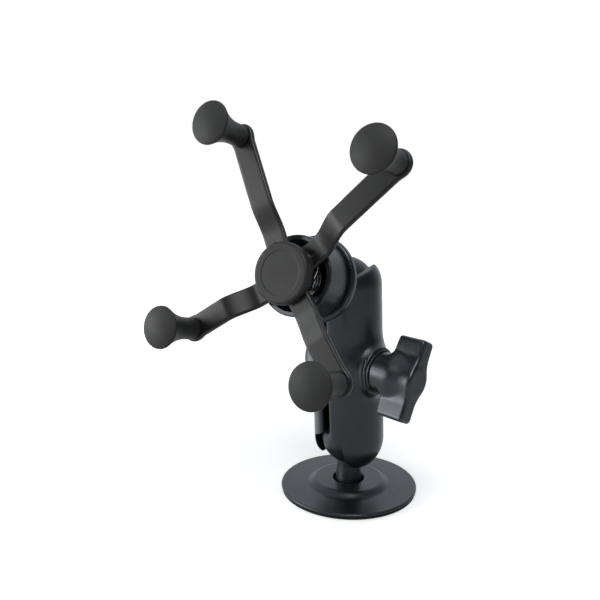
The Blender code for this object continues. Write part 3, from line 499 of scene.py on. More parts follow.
# %% Two ball studs
BALL_RADIUS = 12.7
CORE_RADIUS = 10.25
NECK = 6.3
NECK_ROUND = 0.7
WAIST = 5.4
WAIST_END = 14.5
WAIST_ROUND = 4.0
POST_FOOT = -23.35
POST_END = -24.95
FLANGE_RADIUS = 13.0
PLATE_BACK = -24.6
PLATE_FRONT = -28.4
PLATE_RADIUS = 18.0
UPPER_STUD = CRADLE @ turn(180, "X")


def ball_stud(name, foot, end, radius, rounding, place, body, node):
    """A ball and its neck, on a round flange from the foot to the end."""
    crown = arc(CORE_RADIUS, math.pi / 2, -math.acos(WAIST / CORE_RADIUS), 40)
    side = [(*crown[-1], 0), (WAIST, -WAIST_END, WAIST_ROUND), (NECK, foot, NECK_ROUND)]
    side += [(radius, foot, rounding), (radius, end, rounding), (0, end, 0)]
    return turned(name, crown[:-1] + rounded(side), place, COMPOSITE, body, node)


post = ball_stud(
    "ball_post", POST_FOOT, POST_END, FLANGE_RADIUS, 0.3, LOWER_BALL, "base", "lower_ball_post"
)
plate = ball_stud(
    "ball_stud_plate", PLATE_BACK, PLATE_FRONT, PLATE_RADIUS, 1.3, UPPER_STUD, "cradle", "ball_plate"
)
print("studs:", faces_of(post, plate))

# %% Rubber over the balls
SKIN = 2.2
MOUTH_CLEARANCE = 0.25
MOUTH = WAIST + MOUTH_CLEARANCE
MOUTH_ROLL = 0.5


def ball_skin(name, place, body, node):
    """Outer and inner sphere with a rolled mouth where the neck comes through."""
    inner = BALL_RADIUS - SKIN
    outside = arc(BALL_RADIUS, math.pi / 2, -math.acos((MOUTH + MOUTH_ROLL) / BALL_RADIUS), 48)
    rim = outside[-1][1]
    lip = [(MOUTH + 0.15, rim + 0.02), (MOUTH, rim + 0.35)]
    inside = arc(inner, -math.acos(MOUTH / inner), math.pi / 2, 24)
    return turned(name, outside + lip + inside, place, BALL_RUBBER, body, node)


lower_skin = ball_skin("lower_ball_skin", LOWER_BALL, "lower_ball", "lower_ball_rubber")
upper_skin = ball_skin("upper_ball_skin", FACING @ turn(180, "X"), "upper_ball", "upper_ball_rubber")
print("ball skins:", faces_of(lower_skin, upper_skin))

# %% [markdown]
# ## Moulded pieces from a distance field
#
# The clamp shells, the wing knob and the bars run into each other with soft fillets, which is hard to get
# from Boolean cuts and bevels. Instead each is written as a distance: negative inside, zero on the surface.
# Joining two shapes is the smaller of two distances and cutting is the larger, and a rounded minimum or
# maximum gives the fillet. A slanted side makes the field too steep, so it is scaled back by a factor below
# one. A grid of samples then finds the surface, and every point is moved onto the exact zero along the
# field's slope.

# %% Rounded joins and cuts
def join(a, b, fillet=0.0):
    """The union of two distances with a fillet in the corner."""
    if fillet <= 0:
        return np.minimum(a, b)
    near = np.maximum(fillet - np.abs(a - b), 0) / fillet
    return np.minimum(a, b) - near * near * fillet / 4


def keep(a, b, rounding=0.0):
    """What two shapes share, with its edges rounded."""
    return -join(-a, -b, rounding)


def cut(a, b, rounding=0.0):
    return keep(a, -b, rounding)


def rod(radius_there, along, radius, low, high, rounding=0.0):
    """A cylinder between two heights of an axis."""
    return keep(radius_there - radius, np.abs(along - (low + high) / 2) - (high - low) / 2, rounding)


print("joins and cuts ready")


# %% A net over the cells that the surface crosses
def corner_block(values, dx, dy, dz):
    nx, ny, nz = values.shape
    return values[dx : nx - 1 + dx, dy : ny - 1 + dy, dz : nz - 1 + dz]


def net_points(values, axes):
    """One point in each cell that the surface crosses, at the mean of its edge crossings."""
    shape = tuple(n - 1 for n in values.shape)
    total, count = np.zeros(shape + (3,)), np.zeros(shape)
    for axis in range(3):
        for u, v in ((0, 0), (0, 1), (1, 0), (1, 1)):
            first = [u, v]
            first.insert(axis, 0)
            second = list(first)
            second[axis] = 1
            a, b = corner_block(values, *first), corner_block(values, *second)
            crossed = (a < 0) != (b < 0)
            part = np.where(crossed, a / np.where(crossed, a - b, 1), 0)
            spot = np.zeros(shape + (3,)) + first
            spot[..., axis] += part
            total += np.where(crossed[..., None], spot, 0)
            count += crossed
    cells = np.argwhere(count > 0)
    step = axes[0][1] - axes[0][0]
    local = total[tuple(cells.T)] / count[tuple(cells.T)][:, None]
    index = -np.ones(shape, int)
    index[tuple(cells.T)] = np.arange(len(cells))
    return (cells + local) * step + [axis[0] for axis in axes], index


def net_faces(values, index):
    """A face across each grid edge that the surface crosses, turned outwards."""
    faces = []
    for axis in range(3):
        inner = [slice(1, -1)] * 3
        inner[axis] = slice(0, -1)
        outer = list(inner)
        outer[axis] = slice(1, None)
        a, b = values[tuple(inner)] < 0, values[tuple(outer)] < 0
        for low, spots in ((True, np.argwhere(a & ~b)), (False, np.argwhere(~a & b))):
            spots = spots + [0 if k == axis else 1 for k in range(3)]
            u, v = (axis + 1) % 3, (axis + 2) % 3
            ring = []
            for du, dv in ((1, 1), (0, 1), (0, 0), (1, 0)):
                cell = spots.copy()
                cell[:, u] -= du
                cell[:, v] -= dv
                ring.append(index[tuple(cell.T)])
            quads = np.stack(ring, 1)
            faces.append(quads if low else quads[:, ::-1])
    return np.concatenate(faces)


print("nets ready")

# %% Surface of a distance field
SLOPE_STEP = 0.02
SLOPE_LEAST = 0.05
PASSES = 3


def surface(distance, low, high, step):
    """Points and faces of the zero level inside a box, in millimetres."""
    axes = [np.arange(a - 2 * step, b + 2.5 * step, step) for a, b in zip(low, high)]
    values = distance(*np.meshgrid(*axes, indexing="ij"))
    points, index = net_points(values, axes)
    faces = net_faces(values, index)
    for _ in range(PASSES):
        slope = np.empty_like(points)
        for axis in range(3):
            ahead, behind = points.copy(), points.copy()
            ahead[:, axis] += SLOPE_STEP
            behind[:, axis] -= SLOPE_STEP
            slope[:, axis] = (distance(*ahead.T) - distance(*behind.T)) / (2 * SLOPE_STEP)
        squared = np.maximum((slope**2).sum(1), SLOPE_LEAST)
        move = distance(*points.T)[:, None] * slope / squared[:, None]
        points = points - np.clip(move, -step / 2, step / 2)
    return points, faces.tolist()


def moulded(name, distance, low, high, step, place, finish, body, node):
    return piece(new_mesh(name, *surface(distance, low, high, step), place), finish, body, node)


print("points are moved onto the surface in", PASSES, "passes")

# %% [markdown]
# ### Clamp shells
#
# Each shell is half a hollow capsule with a seat for a ball at both ends. One end closes round its ball, with
# a narrow slot for the neck. The other stops just past the ball's centre, so that the upper stud can swing
# right forward. Both halves come from one mould idea and are turned end for end. Outside, each grows into a
# broad boss for the knob or the bolt head, and a cup inside holds the spreading spring.

# %% The form that both shells share
SHELL = 16.0
SOCKET = 13.0
SPLIT = 2.15
SPLIT_ROUND = 2.0
CUP = 6.1
CUP_WALL = 2.2
CUP_FLOOR = 7.15
BOLT_HOLE = 3.4
BOSS_FILLET = 6.0
MOUTH_RADIUS = 10.2
MOUTH_START = 6.3
NARROW_SLOT = (-5.0, 0.0, 8.3)
WIDE_SLOT = (-5.2, -1.2, 10.2)
OPEN_END = 7.9
OPEN_SLANT = 0.22


def capsule(n, t, a, radius):
    beyond = a - np.clip(a, 0, SOCKET_SPACING)
    return np.sqrt(n * n + t * t + beyond * beyond) - radius


def neck_slot(n, outwards, start, full, width):
    """A slot that opens in a V from the split at start to its full half-width."""
    half = SPLIT + (width - SPLIT) * np.clip((outwards - start) / (full - start), 0, 1)
    return keep((n - half) * 0.62, start - outwards, 0.6)


def closed_end(n, t, outwards):
    """A round mouth with a slot, for the end that closes round its ball."""
    mouth = keep(np.sqrt(n * n + t * t) - MOUTH_RADIUS, MOUTH_START - outwards)
    return join(neck_slot(n, outwards, *NARROW_SLOT), mouth)


def open_end(n, t, outwards):
    """A slanted end just past the ball's centre, with a wide slot."""
    rim = (OPEN_END + OPEN_SLANT * t - outwards) * 0.97
    return join(neck_slot(n, outwards, *WIDE_SLOT), rim)


def shell(n, t, a, boss, pocket, lower, upper):
    """n is out from the split, t across, a along the arm from the lower ball."""
    bolt_radius = np.sqrt(t * t + (a - SOCKET_SPACING / 2) ** 2)
    body = join(capsule(n, t, a, SHELL), boss(n, bolt_radius), BOSS_FILLET)
    body = keep(body, SPLIT - n, SPLIT_ROUND)
    body = cut(body, capsule(n, t, a, SOCKET), 0.5)
    body = join(body, rod(bolt_radius, n, CUP + CUP_WALL, SPLIT, SOCKET + 1.0, 0.4), 1.2)
    body = cut(body, lower(n, -t, -a), 0.7)
    body = cut(body, upper(n, t, a - SOCKET_SPACING), 0.7)
    body = cut(body, rod(bolt_radius, n, CUP, 0.0, CUP_FLOOR), 0.4)
    body = cut(body, bolt_radius - BOLT_HOLE, 0.3)
    return cut(body, pocket(n, t, a - SOCKET_SPACING / 2), 0.5)


print("shell wall", SHELL - SOCKET, "mm, split gap", 2 * SPLIT, "mm")

# %% Bosses and the pocket of the bolt head
BOSS_ROOT = 4.0
KNOB_BOSS_FACE = 19.2
KNOB_BOSS_CONE = (10.2, 0.42, 16.2)
BOLT_BOSS_FACE = 18.2
BOLT_BOSS_CONE = (9.5, 0.25, 16.0)
GROOVE_MIDDLE = 17.85
GROOVE_HALF = 0.45
GROOVE_FLOOR = 9.5
POCKET_FLATS = 11.6
POCKET_FLOOR = 13.95


def flared(n, radius, top, flare, end):
    """A cone that widens towards the shell and has its top radius from end on."""
    return radius - (top + flare * np.maximum(end - n, 0))


def knob_boss(n, radius):
    cone = flared(n, radius, *KNOB_BOSS_CONE) * 0.92
    boss = keep(keep(cone, n - KNOB_BOSS_FACE, 0.7), BOSS_ROOT - n)
    groove = keep(np.abs(n - GROOVE_MIDDLE) - GROOVE_HALF, GROOVE_FLOOR - radius)
    return cut(boss, groove, 0.25)


def bolt_boss(n, radius):
    cone = flared(n, radius, *BOLT_BOSS_CONE) * 0.95
    return keep(keep(cone, n - BOLT_BOSS_FACE, 0.8), BOSS_ROOT - n)


def no_pocket(n, t, a):
    """A distance that stays clear of the surface, for the side without a pocket."""
    return np.full(np.shape(n), 9.0)


def hexagon(x, y, flats):
    sides = [np.abs(x * math.cos(k) + y * math.sin(k)) for k in np.radians((30, 90, 150))]
    return np.maximum.reduce(sides) - flats / 2


def head_pocket(n, t, a):
    return keep(hexagon(-a, t, POCKET_FLATS), POCKET_FLOOR - n)


print("knob-side boss stands", KNOB_BOSS_FACE, "mm out, bolt-side boss", BOLT_BOSS_FACE, "mm")

# %% Knob-side and bolt-side shells
SHELL_BOX = 16.2
SPLIT_BOX = 2.0
BOSS_BOX = 19.4
SHELL_GRID = 0.45


def arm_shell(name, sign, boss, pocket, body, node):
    """sign is 1 on the knob side, and -1 on the bolt side, which is turned end for end."""
    ends = (closed_end, open_end) if sign > 0 else (open_end, closed_end)

    def distance(n, t, a):
        return shell(n * sign, t, a, boss, pocket, *ends)

    near, far = sorted((sign * SPLIT_BOX, sign * BOSS_BOX))
    low = (near, -SHELL_BOX, -SHELL_BOX)
    high = (far, SHELL_BOX, SOCKET_SPACING + SHELL_BOX)
    return moulded(name, distance, low, high, SHELL_GRID, ARM, COMPOSITE, body, node)


knob_shell = arm_shell("shell_knob_side", 1, knob_boss, no_pocket, "arm", "arm_half_knob_side")
bolt_shell = arm_shell("shell_bolt_side", -1, bolt_boss, head_pocket, "bolt_side", "arm_half_bolt_side")
print("shells:", faces_of(knob_shell, bolt_shell))

# %% [markdown]
# ### Wing knob
#
# The knob is a round hub that runs into a deep wing. Seen end on, the wing is widest at the hub and draws in
# through an ogee to nearly square tips. Its front face is flat, and the hub flows into it in an S-shaped
# curve, so that fingers find no hard corner. Sculpting could give such a form, but a formula keeps both
# wings alike.

# %% Wing knob
KNOB_BACK = 20.5
WING_BACK = 25.0
WING_LEAN = 1.5
WING_FRONT = 39.5
WING_REACH = 17.6
WING_TIP = 3.8
WING_MIDDLE = 6.3
WING_OGEE = 0.62
WING_ROUND = 1.7
WING_ANGLE = -28.3
HUB_RADIUS = 9.0
HUB_DRAW_IN = 4.2
HUB_DRAW_START = 27.5
INSERT_BORE = 5.25
INSERT_END = 31.75
KNOB_GRID = 0.34


def wing_knob(x, y, n):
    radius = np.sqrt(x * x + y * y)
    ogee = WING_OGEE * WING_REACH
    swell = np.where(np.abs(x) < ogee, (1 + np.cos(math.pi * x / ogee)) / 2, 0)
    side = (np.abs(y) - WING_TIP - (WING_MIDDLE - WING_TIP) * swell) * 0.93
    back = WING_BACK + WING_LEAN * np.abs(x) / WING_REACH
    outline = keep(side, np.abs(x) - WING_REACH, WING_ROUND)
    wing = keep(keep(outline, n - WING_FRONT, WING_ROUND), (back - n) * 0.99, 0.8)
    hub_side = (radius - HUB_RADIUS + HUB_DRAW_IN * ramp(n, HUB_DRAW_START, WING_FRONT)) * 0.9
    hub = keep(keep(hub_side, KNOB_BACK - n, 0.6), n - WING_FRONT + 0.6, 1.0)
    return cut(join(wing, hub, 2.4), rod(radius, n, INSERT_BORE, KNOB_BACK - 5, INSERT_END), 0.3)


knob = moulded(
    "wing_knob_moulding", wing_knob, (-18, -9.5, 20), (18, 9.5, 40), KNOB_GRID,
    CLAMP @ turn(WING_ANGLE, "Z"), COMPOSITE, "knob", "wing_knob",
)
print("knob:", faces_of(knob))

# %% Washer behind the knob
WASHER_RADIUS = 9.6
WASHER_BACK = 19.35
WASHER_FRONT = 20.35


def washer(name, hole, radius, back, front, rounding, place, finish, body, node):
    ring = [(hole, front, rounding / 2), (radius, front, rounding)]
    ring += [(radius, back, rounding), (hole, back, rounding / 2)]
    return turned(name, rounded(ring, True), place, finish, body, node, closed=True)


knob_washer = washer(
    "thrust_washer", BOLT_HOLE, WASHER_RADIUS, WASHER_BACK, WASHER_FRONT, 0.3,
    CLAMP, BLACK_OXIDE, "arm", "knob_washer",
)
print("washer:", faces_of(knob_washer))

# %% [markdown]
# ### Clamp bolt
#
# A plated hexagon bolt runs through both shells into the knob. Its head is chamfered and its shank is
# threaded. A thread could be a swept triangle, but here it is the same distance idea, with the radius rising
# and falling along a helix of one pitch to the turn.

# %% Bolt with a chamfered head and a thread
BOLT_RADIUS = 3.175
BOLT_END = 30.4
SHANK_START = -16
PITCH = 1.27
THREAD_DEPTH = 0.38
THREAD_RUN_IN = (-11, -9)
HEAD_FLATS = 11.1
HEAD_MIDDLE = 16.2
HEAD_HALF = 2.0
HEAD_TOP = 18.2
CHAMFER_RADIUS = 5.2
CHAMFER_SLOPE = 1.6
BOLT_GRID = 0.3


def clamp_bolt(x, y, n):
    radius = np.sqrt(x * x + y * y)
    head = keep(hexagon(x, y, HEAD_FLATS), np.abs(n + HEAD_MIDDLE) - HEAD_HALF, 0.3)
    head = keep(head, (radius + (-n - HEAD_TOP) * CHAMFER_SLOPE - CHAMFER_RADIUS) * 0.53)
    turns = n / PITCH - np.arctan2(y, x) / math.tau
    groove = THREAD_DEPTH * np.abs(2 * (turns - np.floor(turns)) - 1) * ramp(n, *THREAD_RUN_IN)
    shank = keep((radius - BOLT_RADIUS + groove) * 0.8, n - BOLT_END, 0.4)
    return join(head, keep(shank, SHANK_START - n), 0.4)


bolt = moulded(
    "clamp_bolt_threaded", clamp_bolt, (-6.6, -6.6, -18.4), (6.6, 6.6, 30.6), BOLT_GRID,
    CLAMP, PLATED_STEEL, "bolt_side", "clamp_bolt",
)
print("bolt:", faces_of(bolt))

# %% [markdown]
# ## Wound springs
#
# A spring is one wire along a path, so a small Geometry Nodes tree does the work: it takes a curve, sweeps a
# round section of a given radius along it, and closes the ends. The path itself is a formula. A Screw
# modifier could wind the coil, but not the legs. The tree is run once and its result is kept as a plain mesh,
# because an export drops what isn't realised.

# %% Starting, ending and running a tree
def new_tree(name, start, inputs, result):
    """A geometry tree with a start geometry, inputs (label, kind) and a result geometry."""
    tree = bpy.data.node_groups.new(name, "GeometryNodeTree")
    for label, kind in ((start, "Geometry"), *inputs):
        tree.interface.new_socket(label, in_out="INPUT", socket_type="NodeSocket" + kind)
    tree.interface.new_socket(result, in_out="OUTPUT", socket_type="NodeSocketGeometry")
    return tree, tree.nodes.new("NodeGroupInput").outputs


def end_tree(tree, geometry, finish):
    """Makes instances real, sets their material and hands them out."""
    real = add(tree, "GeometryNodeRealizeInstances", in_Geometry=geometry).outputs[0]
    painted = add(tree, "GeometryNodeSetMaterial", in_Geometry=real, in_Material=finish).outputs[0]
    add(tree, "NodeGroupOutput", in_0=painted)
    print("tree", tree.name, "with", len(tree.nodes), "nodes")


def run_tree(tree, name, points, values, edges=()):
    """Evaluates a tree on a few points and returns its result as a plain mesh."""
    start = bpy.data.meshes.new(name + "_start")
    start.from_pydata([tuple(p) for p in points], list(edges), [])
    obj = placed(name + "_start", start)
    modifier = obj.modifiers.new("nodes", "NODES")
    modifier.node_group = tree
    sockets = {item.name: item.identifier for item in tree.interface.items_tree}
    for label, value in values.items():
        modifier[sockets[label]] = value
    bpy.context.view_layer.update()
    evaluated = obj.evaluated_get(bpy.context.evaluated_depsgraph_get())
    mesh = bpy.data.meshes.new_from_object(evaluated)
    mesh.name = name
    obj.modifiers.remove(modifier)
    bpy.data.objects.remove(obj)
    bpy.data.meshes.remove(start)
    store_edges(mesh)
    return mesh


print("helpers for trees ready")

# %% The wire tree
WIRE = 1.3
WIRE_SIDES = 14

wire_tree, given = new_tree("wound_wire", "Path", (("Wire Radius", "Float"), ("Finish", "Material")), "Wire")
section = add(
    wire_tree, "GeometryNodeCurvePrimitiveCircle", in_Resolution=WIRE_SIDES, in_Radius=given["Wire Radius"]
).outputs[0]
path = add(wire_tree, "GeometryNodeMeshToCurve", in_Mesh=given["Path"]).outputs[0]
sweep = add(
    wire_tree, "GeometryNodeCurveToMesh", in_Curve=path, in_Profile_Curve=section, in_Fill_Caps=True
).outputs[0]
smooth = add(wire_tree, "GeometryNodeSetShadeSmooth", in_Geometry=sweep).outputs[0]
end_tree(wire_tree, smooth, given["Finish"])


def wire(name, path, place):
    """A plated wire through points in millimetres."""
    points = [place @ (Vector(p) * MM) for p in path]
    edges = [(i, i + 1) for i in range(len(points) - 1)]
    values = {"Wire Radius": WIRE / 2 * MM, "Finish": PLATED_STEEL}
    return run_tree(wire_tree, name, points, values, edges)


def coil(radius, start, stop, low, high, count):
    """Points that wind from one angle and height to another."""
    points = []
    for k in range(count + 1):
        angle = start + (stop - start) * k / count
        points.append((radius * math.cos(angle), radius * math.sin(angle), low + (high - low) * k / count))
    return points


print("wires are", WIRE, "mm thick")

# %% [markdown]
# ### The spreading spring
#
# It sits round the bolt between the two shells and pushes them apart when the knob is loosened. A bone or a
# shape key could stretch it. Here it is one plain wire, made once where it sits.

# %% Spreading spring
SPREADER_RADIUS = 4.7
SPREADER_END = 6.9
SPREADER_TURNS = 4
SPREADER_STEPS = 28

wound = SPREADER_END - WIRE
winding = coil(
    SPREADER_RADIUS, 0, math.tau * SPREADER_TURNS, -wound, wound, SPREADER_TURNS * SPREADER_STEPS
)
first_end, last_end = (SPREADER_RADIUS, 0, -SPREADER_END), (SPREADER_RADIUS, 0, SPREADER_END)
mesh = wire("spreading_spring", [first_end, *winding, last_end], CLAMP)
spring = placed(mesh.name, mesh)
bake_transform(spring)
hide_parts("clamp_spring")
print("spreading spring:", faces_of(spring))

# %% [markdown]
# ## The cradle's hub
#
# A drum behind the bars houses the grip spring. It is screwed to the round plate from behind, and a pivot
# bolt through its middle tube carries washers, both bars and a rubber cap on the front. All of it is turned,
# so the lathe serves again.

# %% Drum, cap and washers
PIVOT_HOLE = 2.7
DRUM_RADIUS = 16.0
DRUM_INSIDE = 14.0
DRUM_BACK = 28.65
DRUM_FLOOR = 31.85
DRUM_FRONT = 43.25
TUBE_RADIUS = 4.6
TUBE_FOOT = 6.5
TUBE_FOOT_FRONT = 34.1
HUB_CAP_RADIUS = 12.0
HUB_CAP_BACK = 50.5
HUB_CAP_RIM = 53.7
HUB_CAP_DISH = 53.5
HEAD_ROOM = 5.75
HEAD_ROOM_END = 52.5
RING_RADIUS = 7.5
RING_THICKNESS = 0.8
RINGS = (("rear_thrust_ring", 43.4, "rear_washer"), ("middle_thrust_ring", 46.9, "middle_washer"))

drum_corners = [
    (PIVOT_HOLE, DRUM_FRONT, 0.2), (TUBE_RADIUS, DRUM_FRONT, 0.4), (TUBE_RADIUS, TUBE_FOOT_FRONT, 0.4),
    (TUBE_FOOT, TUBE_FOOT_FRONT, 0.4), (TUBE_FOOT, DRUM_FLOOR, 0.4), (DRUM_INSIDE, DRUM_FLOOR, 0.6),
    (DRUM_INSIDE, DRUM_FRONT, 0.3), (DRUM_RADIUS, DRUM_FRONT, 0.6), (DRUM_RADIUS, DRUM_BACK, 0.5),
    (PIVOT_HOLE, DRUM_BACK, 0.2),
]
drum_profile = rounded(drum_corners, True)
drum = turned("spring_drum", drum_profile, CRADLE, COMPOSITE, "cradle", "hub_housing", closed=True)
cap_corners = [
    (0, HUB_CAP_DISH, 0), (8.2, 53.55, 1.0), (8.7, HUB_CAP_RIM, 0.3), (HUB_CAP_RADIUS, HUB_CAP_RIM, 1.4),
    (HUB_CAP_RADIUS, HUB_CAP_BACK, 0.3), (HEAD_ROOM, HUB_CAP_BACK, 0.2), (HEAD_ROOM, HEAD_ROOM_END, 0.2),
    (0, HEAD_ROOM_END, 0),
]
hub_cap = turned("hub_cap_rubber", rounded(cap_corners), CRADLE, RUBBER, "cradle", "hub_cap")
for name, back, node in RINGS:
    front = back + RING_THICKNESS
    washer(name, PIVOT_HOLE, RING_RADIUS, back, front, 0.2, CRADLE, PLATED_STEEL, "cradle", node)
print("drum and cap:", faces_of(drum, hub_cap))

# %% [markdown]
# ### Plate screws
#
# Four pan-head screws stand on a circle. They could be copied by hand, but this is what instancing is for:
# one screw is made, with a real cross recess, and a node tree puts a copy on each point of a circle.

# %% One screw as a pattern
PAN_RADIUS = 2.5
PAN_TOP = 22.85
PAN_SEAT = 24.35
DOME_RADIUS = 4.05
DOME_CENTRE = 26.9
RECESS_HALF = 0.34
RECESS_RADIUS = 1.35
RECESS_END = 23.9
RECESS_TAPER = 0.8
SCREW_RADIUS = 1.3
SCREW_START = 24.0
SCREW_END = 33.6
SCREW_GRID = 0.13


def screw(x, y, n):
    radius = np.sqrt(x * x + y * y)
    dome = np.sqrt(radius**2 + (n - DOME_CENTRE) ** 2) - DOME_RADIUS
    pan = keep(keep(radius - PAN_RADIUS, dome), n - PAN_SEAT, 0.1)
    taper = radius - RECESS_RADIUS + (n - PAN_TOP) * RECESS_TAPER
    cross = keep(np.minimum(np.abs(x), np.abs(y)) - RECESS_HALF, taper)
    head = cut(pan, keep(cross, n - RECESS_END), 0.1)
    return join(head, keep(radius - SCREW_RADIUS, np.maximum(SCREW_START - n, n - SCREW_END), 0.2))


screw_surface = surface(screw, (-2.6, -2.6, 22.7), (2.6, 2.6, 33.7), SCREW_GRID)
screw_mesh = new_mesh("screw_pattern", *screw_surface, BASE)
screw_mesh.materials.append(BLACK_OXIDE)
screw_object = placed("screw_pattern", screw_mesh)
print("one screw:", faces_of(screw_object))

# %% The tree that repeats it
SCREW_COUNT = 4
SCREW_CIRCLE = 12.2
SCREW_SPIN = 1.57
SCREW_SEED = 7

screw_inputs = (("Count", "Int"), ("Circle Radius", "Float"), ("Screw", "Object"), ("Finish", "Material"))
screw_tree, given = new_tree("screws_on_circle", "Start", screw_inputs, "Screws")
circle = add(
    screw_tree, "GeometryNodeMeshCircle", in_Vertices=given["Count"], in_Radius=given["Circle Radius"]
).outputs[0]
pattern = add(screw_tree, "GeometryNodeObjectInfo", in_Object=given["Screw"]).outputs["Geometry"]
spin = add(screw_tree, "FunctionNodeRandomValue", in_Min=0.0, in_Max=SCREW_SPIN, in_Seed=SCREW_SEED)
angle = next(socket for socket in spin.outputs if socket.enabled)
turns = add(screw_tree, "ShaderNodeCombineXYZ", in_2=angle).outputs[0]
copies = add(
    screw_tree, "GeometryNodeInstanceOnPoints", in_Points=circle, in_Instance=pattern, in_Rotation=turns
).outputs[0]
end_tree(screw_tree, copies, given["Finish"])
values = {
    "Count": SCREW_COUNT, "Circle Radius": SCREW_CIRCLE * MM, "Screw": screw_object, "Finish": BLACK_OXIDE,
}
screws_mesh = run_tree(screw_tree, "plate_screws", [(0, 0, 0)], values)
screws_mesh.transform(CRADLE)
bpy.data.objects.remove(screw_object)
screw_nodes = [f"plate_screw_{k}" for k in range(1, SCREW_COUNT + 1)]
screws = piece(screws_mesh, BLACK_OXIDE, "cradle", *screw_nodes)
print("screws:", faces_of(screws))

# %% [markdown]
# ### Crossed bars
#
# Two flat steel bars cross on the pivot and step forward near the hub, so that all four ends lie in one
# plane. A bar is an outline times a thickness, lifted along its length by a smooth ramp. Bending a flat mesh
# would do it too, but the distance field also gives the rolled edges of powder-coated strip.

# %% Front and rear bar
PEG_SIDE = 34.4
PEG_UP = 47.1
PEG_DOWN = -31.5
PEGS = {
    "upper_left": (-PEG_SIDE, PEG_UP), "upper_right": (PEG_SIDE, PEG_UP),
    "lower_left": (-PEG_SIDE, PEG_DOWN), "lower_right": (PEG_SIDE, PEG_DOWN),
}
REAR_ENDS = ("upper_right", "lower_left")
FRONT_ENDS = ("upper_left", "lower_right")
BAR_HALF_WIDTH = 4.8
BAR_END_RADIUS = 5.2
BAR_END_BACK = 50.4
REAR_BAR_BACK = 44.35
FRONT_BAR_BACK = 47.85
BAR_THICKNESS = 2.4
BAR_ROUND = 0.9
BAR_STEP = (16, 30)
BAR_EYE = 10.0
BAR_PIVOT_HOLE = 2.65
LEG_RADIUS = 12.0
LEG_HOLE = 0.9
BAR_MARGIN = 6
BAR_GRID = 0.42


def bar_arm(x, y, w, end, back):
    """One arm of a bar from the pivot to its peg."""
    length = math.hypot(*end)
    along = (x * end[0] + y * end[1]) / length
    across = (y * end[0] - x * end[1]) / length
    inside = np.clip(along, 0, length)
    strip = np.hypot(along - inside, across) - BAR_HALF_WIDTH
    outline = join(strip, np.hypot(along - length, across) - BAR_END_RADIUS, 1.0)
    lift = (BAR_END_BACK - back) * ramp(along, *BAR_STEP)
    slab = np.abs(w - back - lift - BAR_THICKNESS / 2) - BAR_THICKNESS / 2
    return keep(outline, slab * 0.9, BAR_ROUND)


def cross_bar(name, ends, back, body, node):
    """A bar through two pegs, with a hole for the pivot and one for a leg of the grip spring."""
    spots = [PEGS[end] for end in ends]
    leg = Vector(spots[0]).normalized() * LEG_RADIUS

    def distance(x, y, w):
        eye = rod(np.hypot(x, y), w, BAR_EYE, back, back + BAR_THICKNESS, BAR_ROUND)
        arms = join(bar_arm(x, y, w, spots[0], back), bar_arm(x, y, w, spots[1], back), 1.5)
        bar = cut(join(eye, arms, 1.5), np.hypot(x - leg.x, y - leg.y) - LEG_HOLE, 0.2)
        return cut(bar, np.hypot(x, y) - BAR_PIVOT_HOLE, 0.3)

    low = [min(axis) - BAR_MARGIN for axis in zip(*spots)] + [back - 0.5]
    high = [max(axis) + BAR_MARGIN for axis in zip(*spots)] + [BAR_END_BACK + 3]
    return moulded(name, distance, low, high, BAR_GRID, CRADLE, COATED_STEEL, body, node)


rear_bar = cross_bar("rear_cross_bar", REAR_ENDS, REAR_BAR_BACK, "rear_grip", "rear_bar")
front_bar = cross_bar("front_cross_bar", FRONT_ENDS, FRONT_BAR_BACK, "front_grip", "front_bar")
print("bars:", faces_of(rear_bar, front_bar))

# %% [markdown]
# ### The grip spring
#
# One wire winds round the pivot tube, and each of its legs turns forward into a bar, so the spring closes the
# bars like scissors. When the bars swing, the two halves of the coil twist opposite ways. Here the coil is
# made in two fixed halves, and the rear leg rides on the front bar.

# %% The coil and its two legs
GRIP_RADIUS = 7.3
GRIP_BACK = 34.45
GRIP_FRONT = 41.45
GRIP_TURNS = 4
GRIP_STEPS = 100
LEG_SWEEP = math.radians(60)
LEG_STEPS = 14
BEND = 1.4
BEND_STEPS = 7


def leg_angle(end):
    x, y = PEGS[end]
    return math.atan2(y, x)


def spring_leg(end, from_angle, height, tip):
    """Out from the coil, round a bend and forward into the bar."""
    points = []
    for k in range(1, LEG_STEPS + 1):
        radius = GRIP_RADIUS + (LEG_RADIUS - BEND - GRIP_RADIUS) * ramp(k, 0, LEG_STEPS)
        angle = from_angle + (leg_angle(end) - from_angle) * k / LEG_STEPS
        points.append((radius * math.cos(angle), radius * math.sin(angle), height))
    c, s = math.cos(leg_angle(end)), math.sin(leg_angle(end))
    for k in range(1, BEND_STEPS + 1):
        bend = math.pi / 2 * k / BEND_STEPS
        radius = LEG_RADIUS - BEND * (1 - math.sin(bend))
        points.append((radius * c, radius * s, height + BEND * (1 - math.cos(bend))))
    return points + [(LEG_RADIUS * c, LEG_RADIUS * s, tip)]


start = leg_angle("upper_left") + LEG_SWEEP
stop = leg_angle("upper_right") - LEG_SWEEP
winding = coil(GRIP_RADIUS, start, stop + GRIP_TURNS * math.tau, GRIP_BACK, GRIP_FRONT, GRIP_STEPS)
rear_leg = spring_leg("upper_left", start, GRIP_BACK, FRONT_BAR_BACK + BAR_THICKNESS / 2)
front_leg = spring_leg("upper_right", stop, GRIP_FRONT, REAR_BAR_BACK + BAR_THICKNESS / 2)
print("grip spring:", round(GRIP_TURNS + (stop - start) / math.tau, 2), "turns")

# %% The two halves of the coil and the rear leg
BLEND_INSET = 0.2


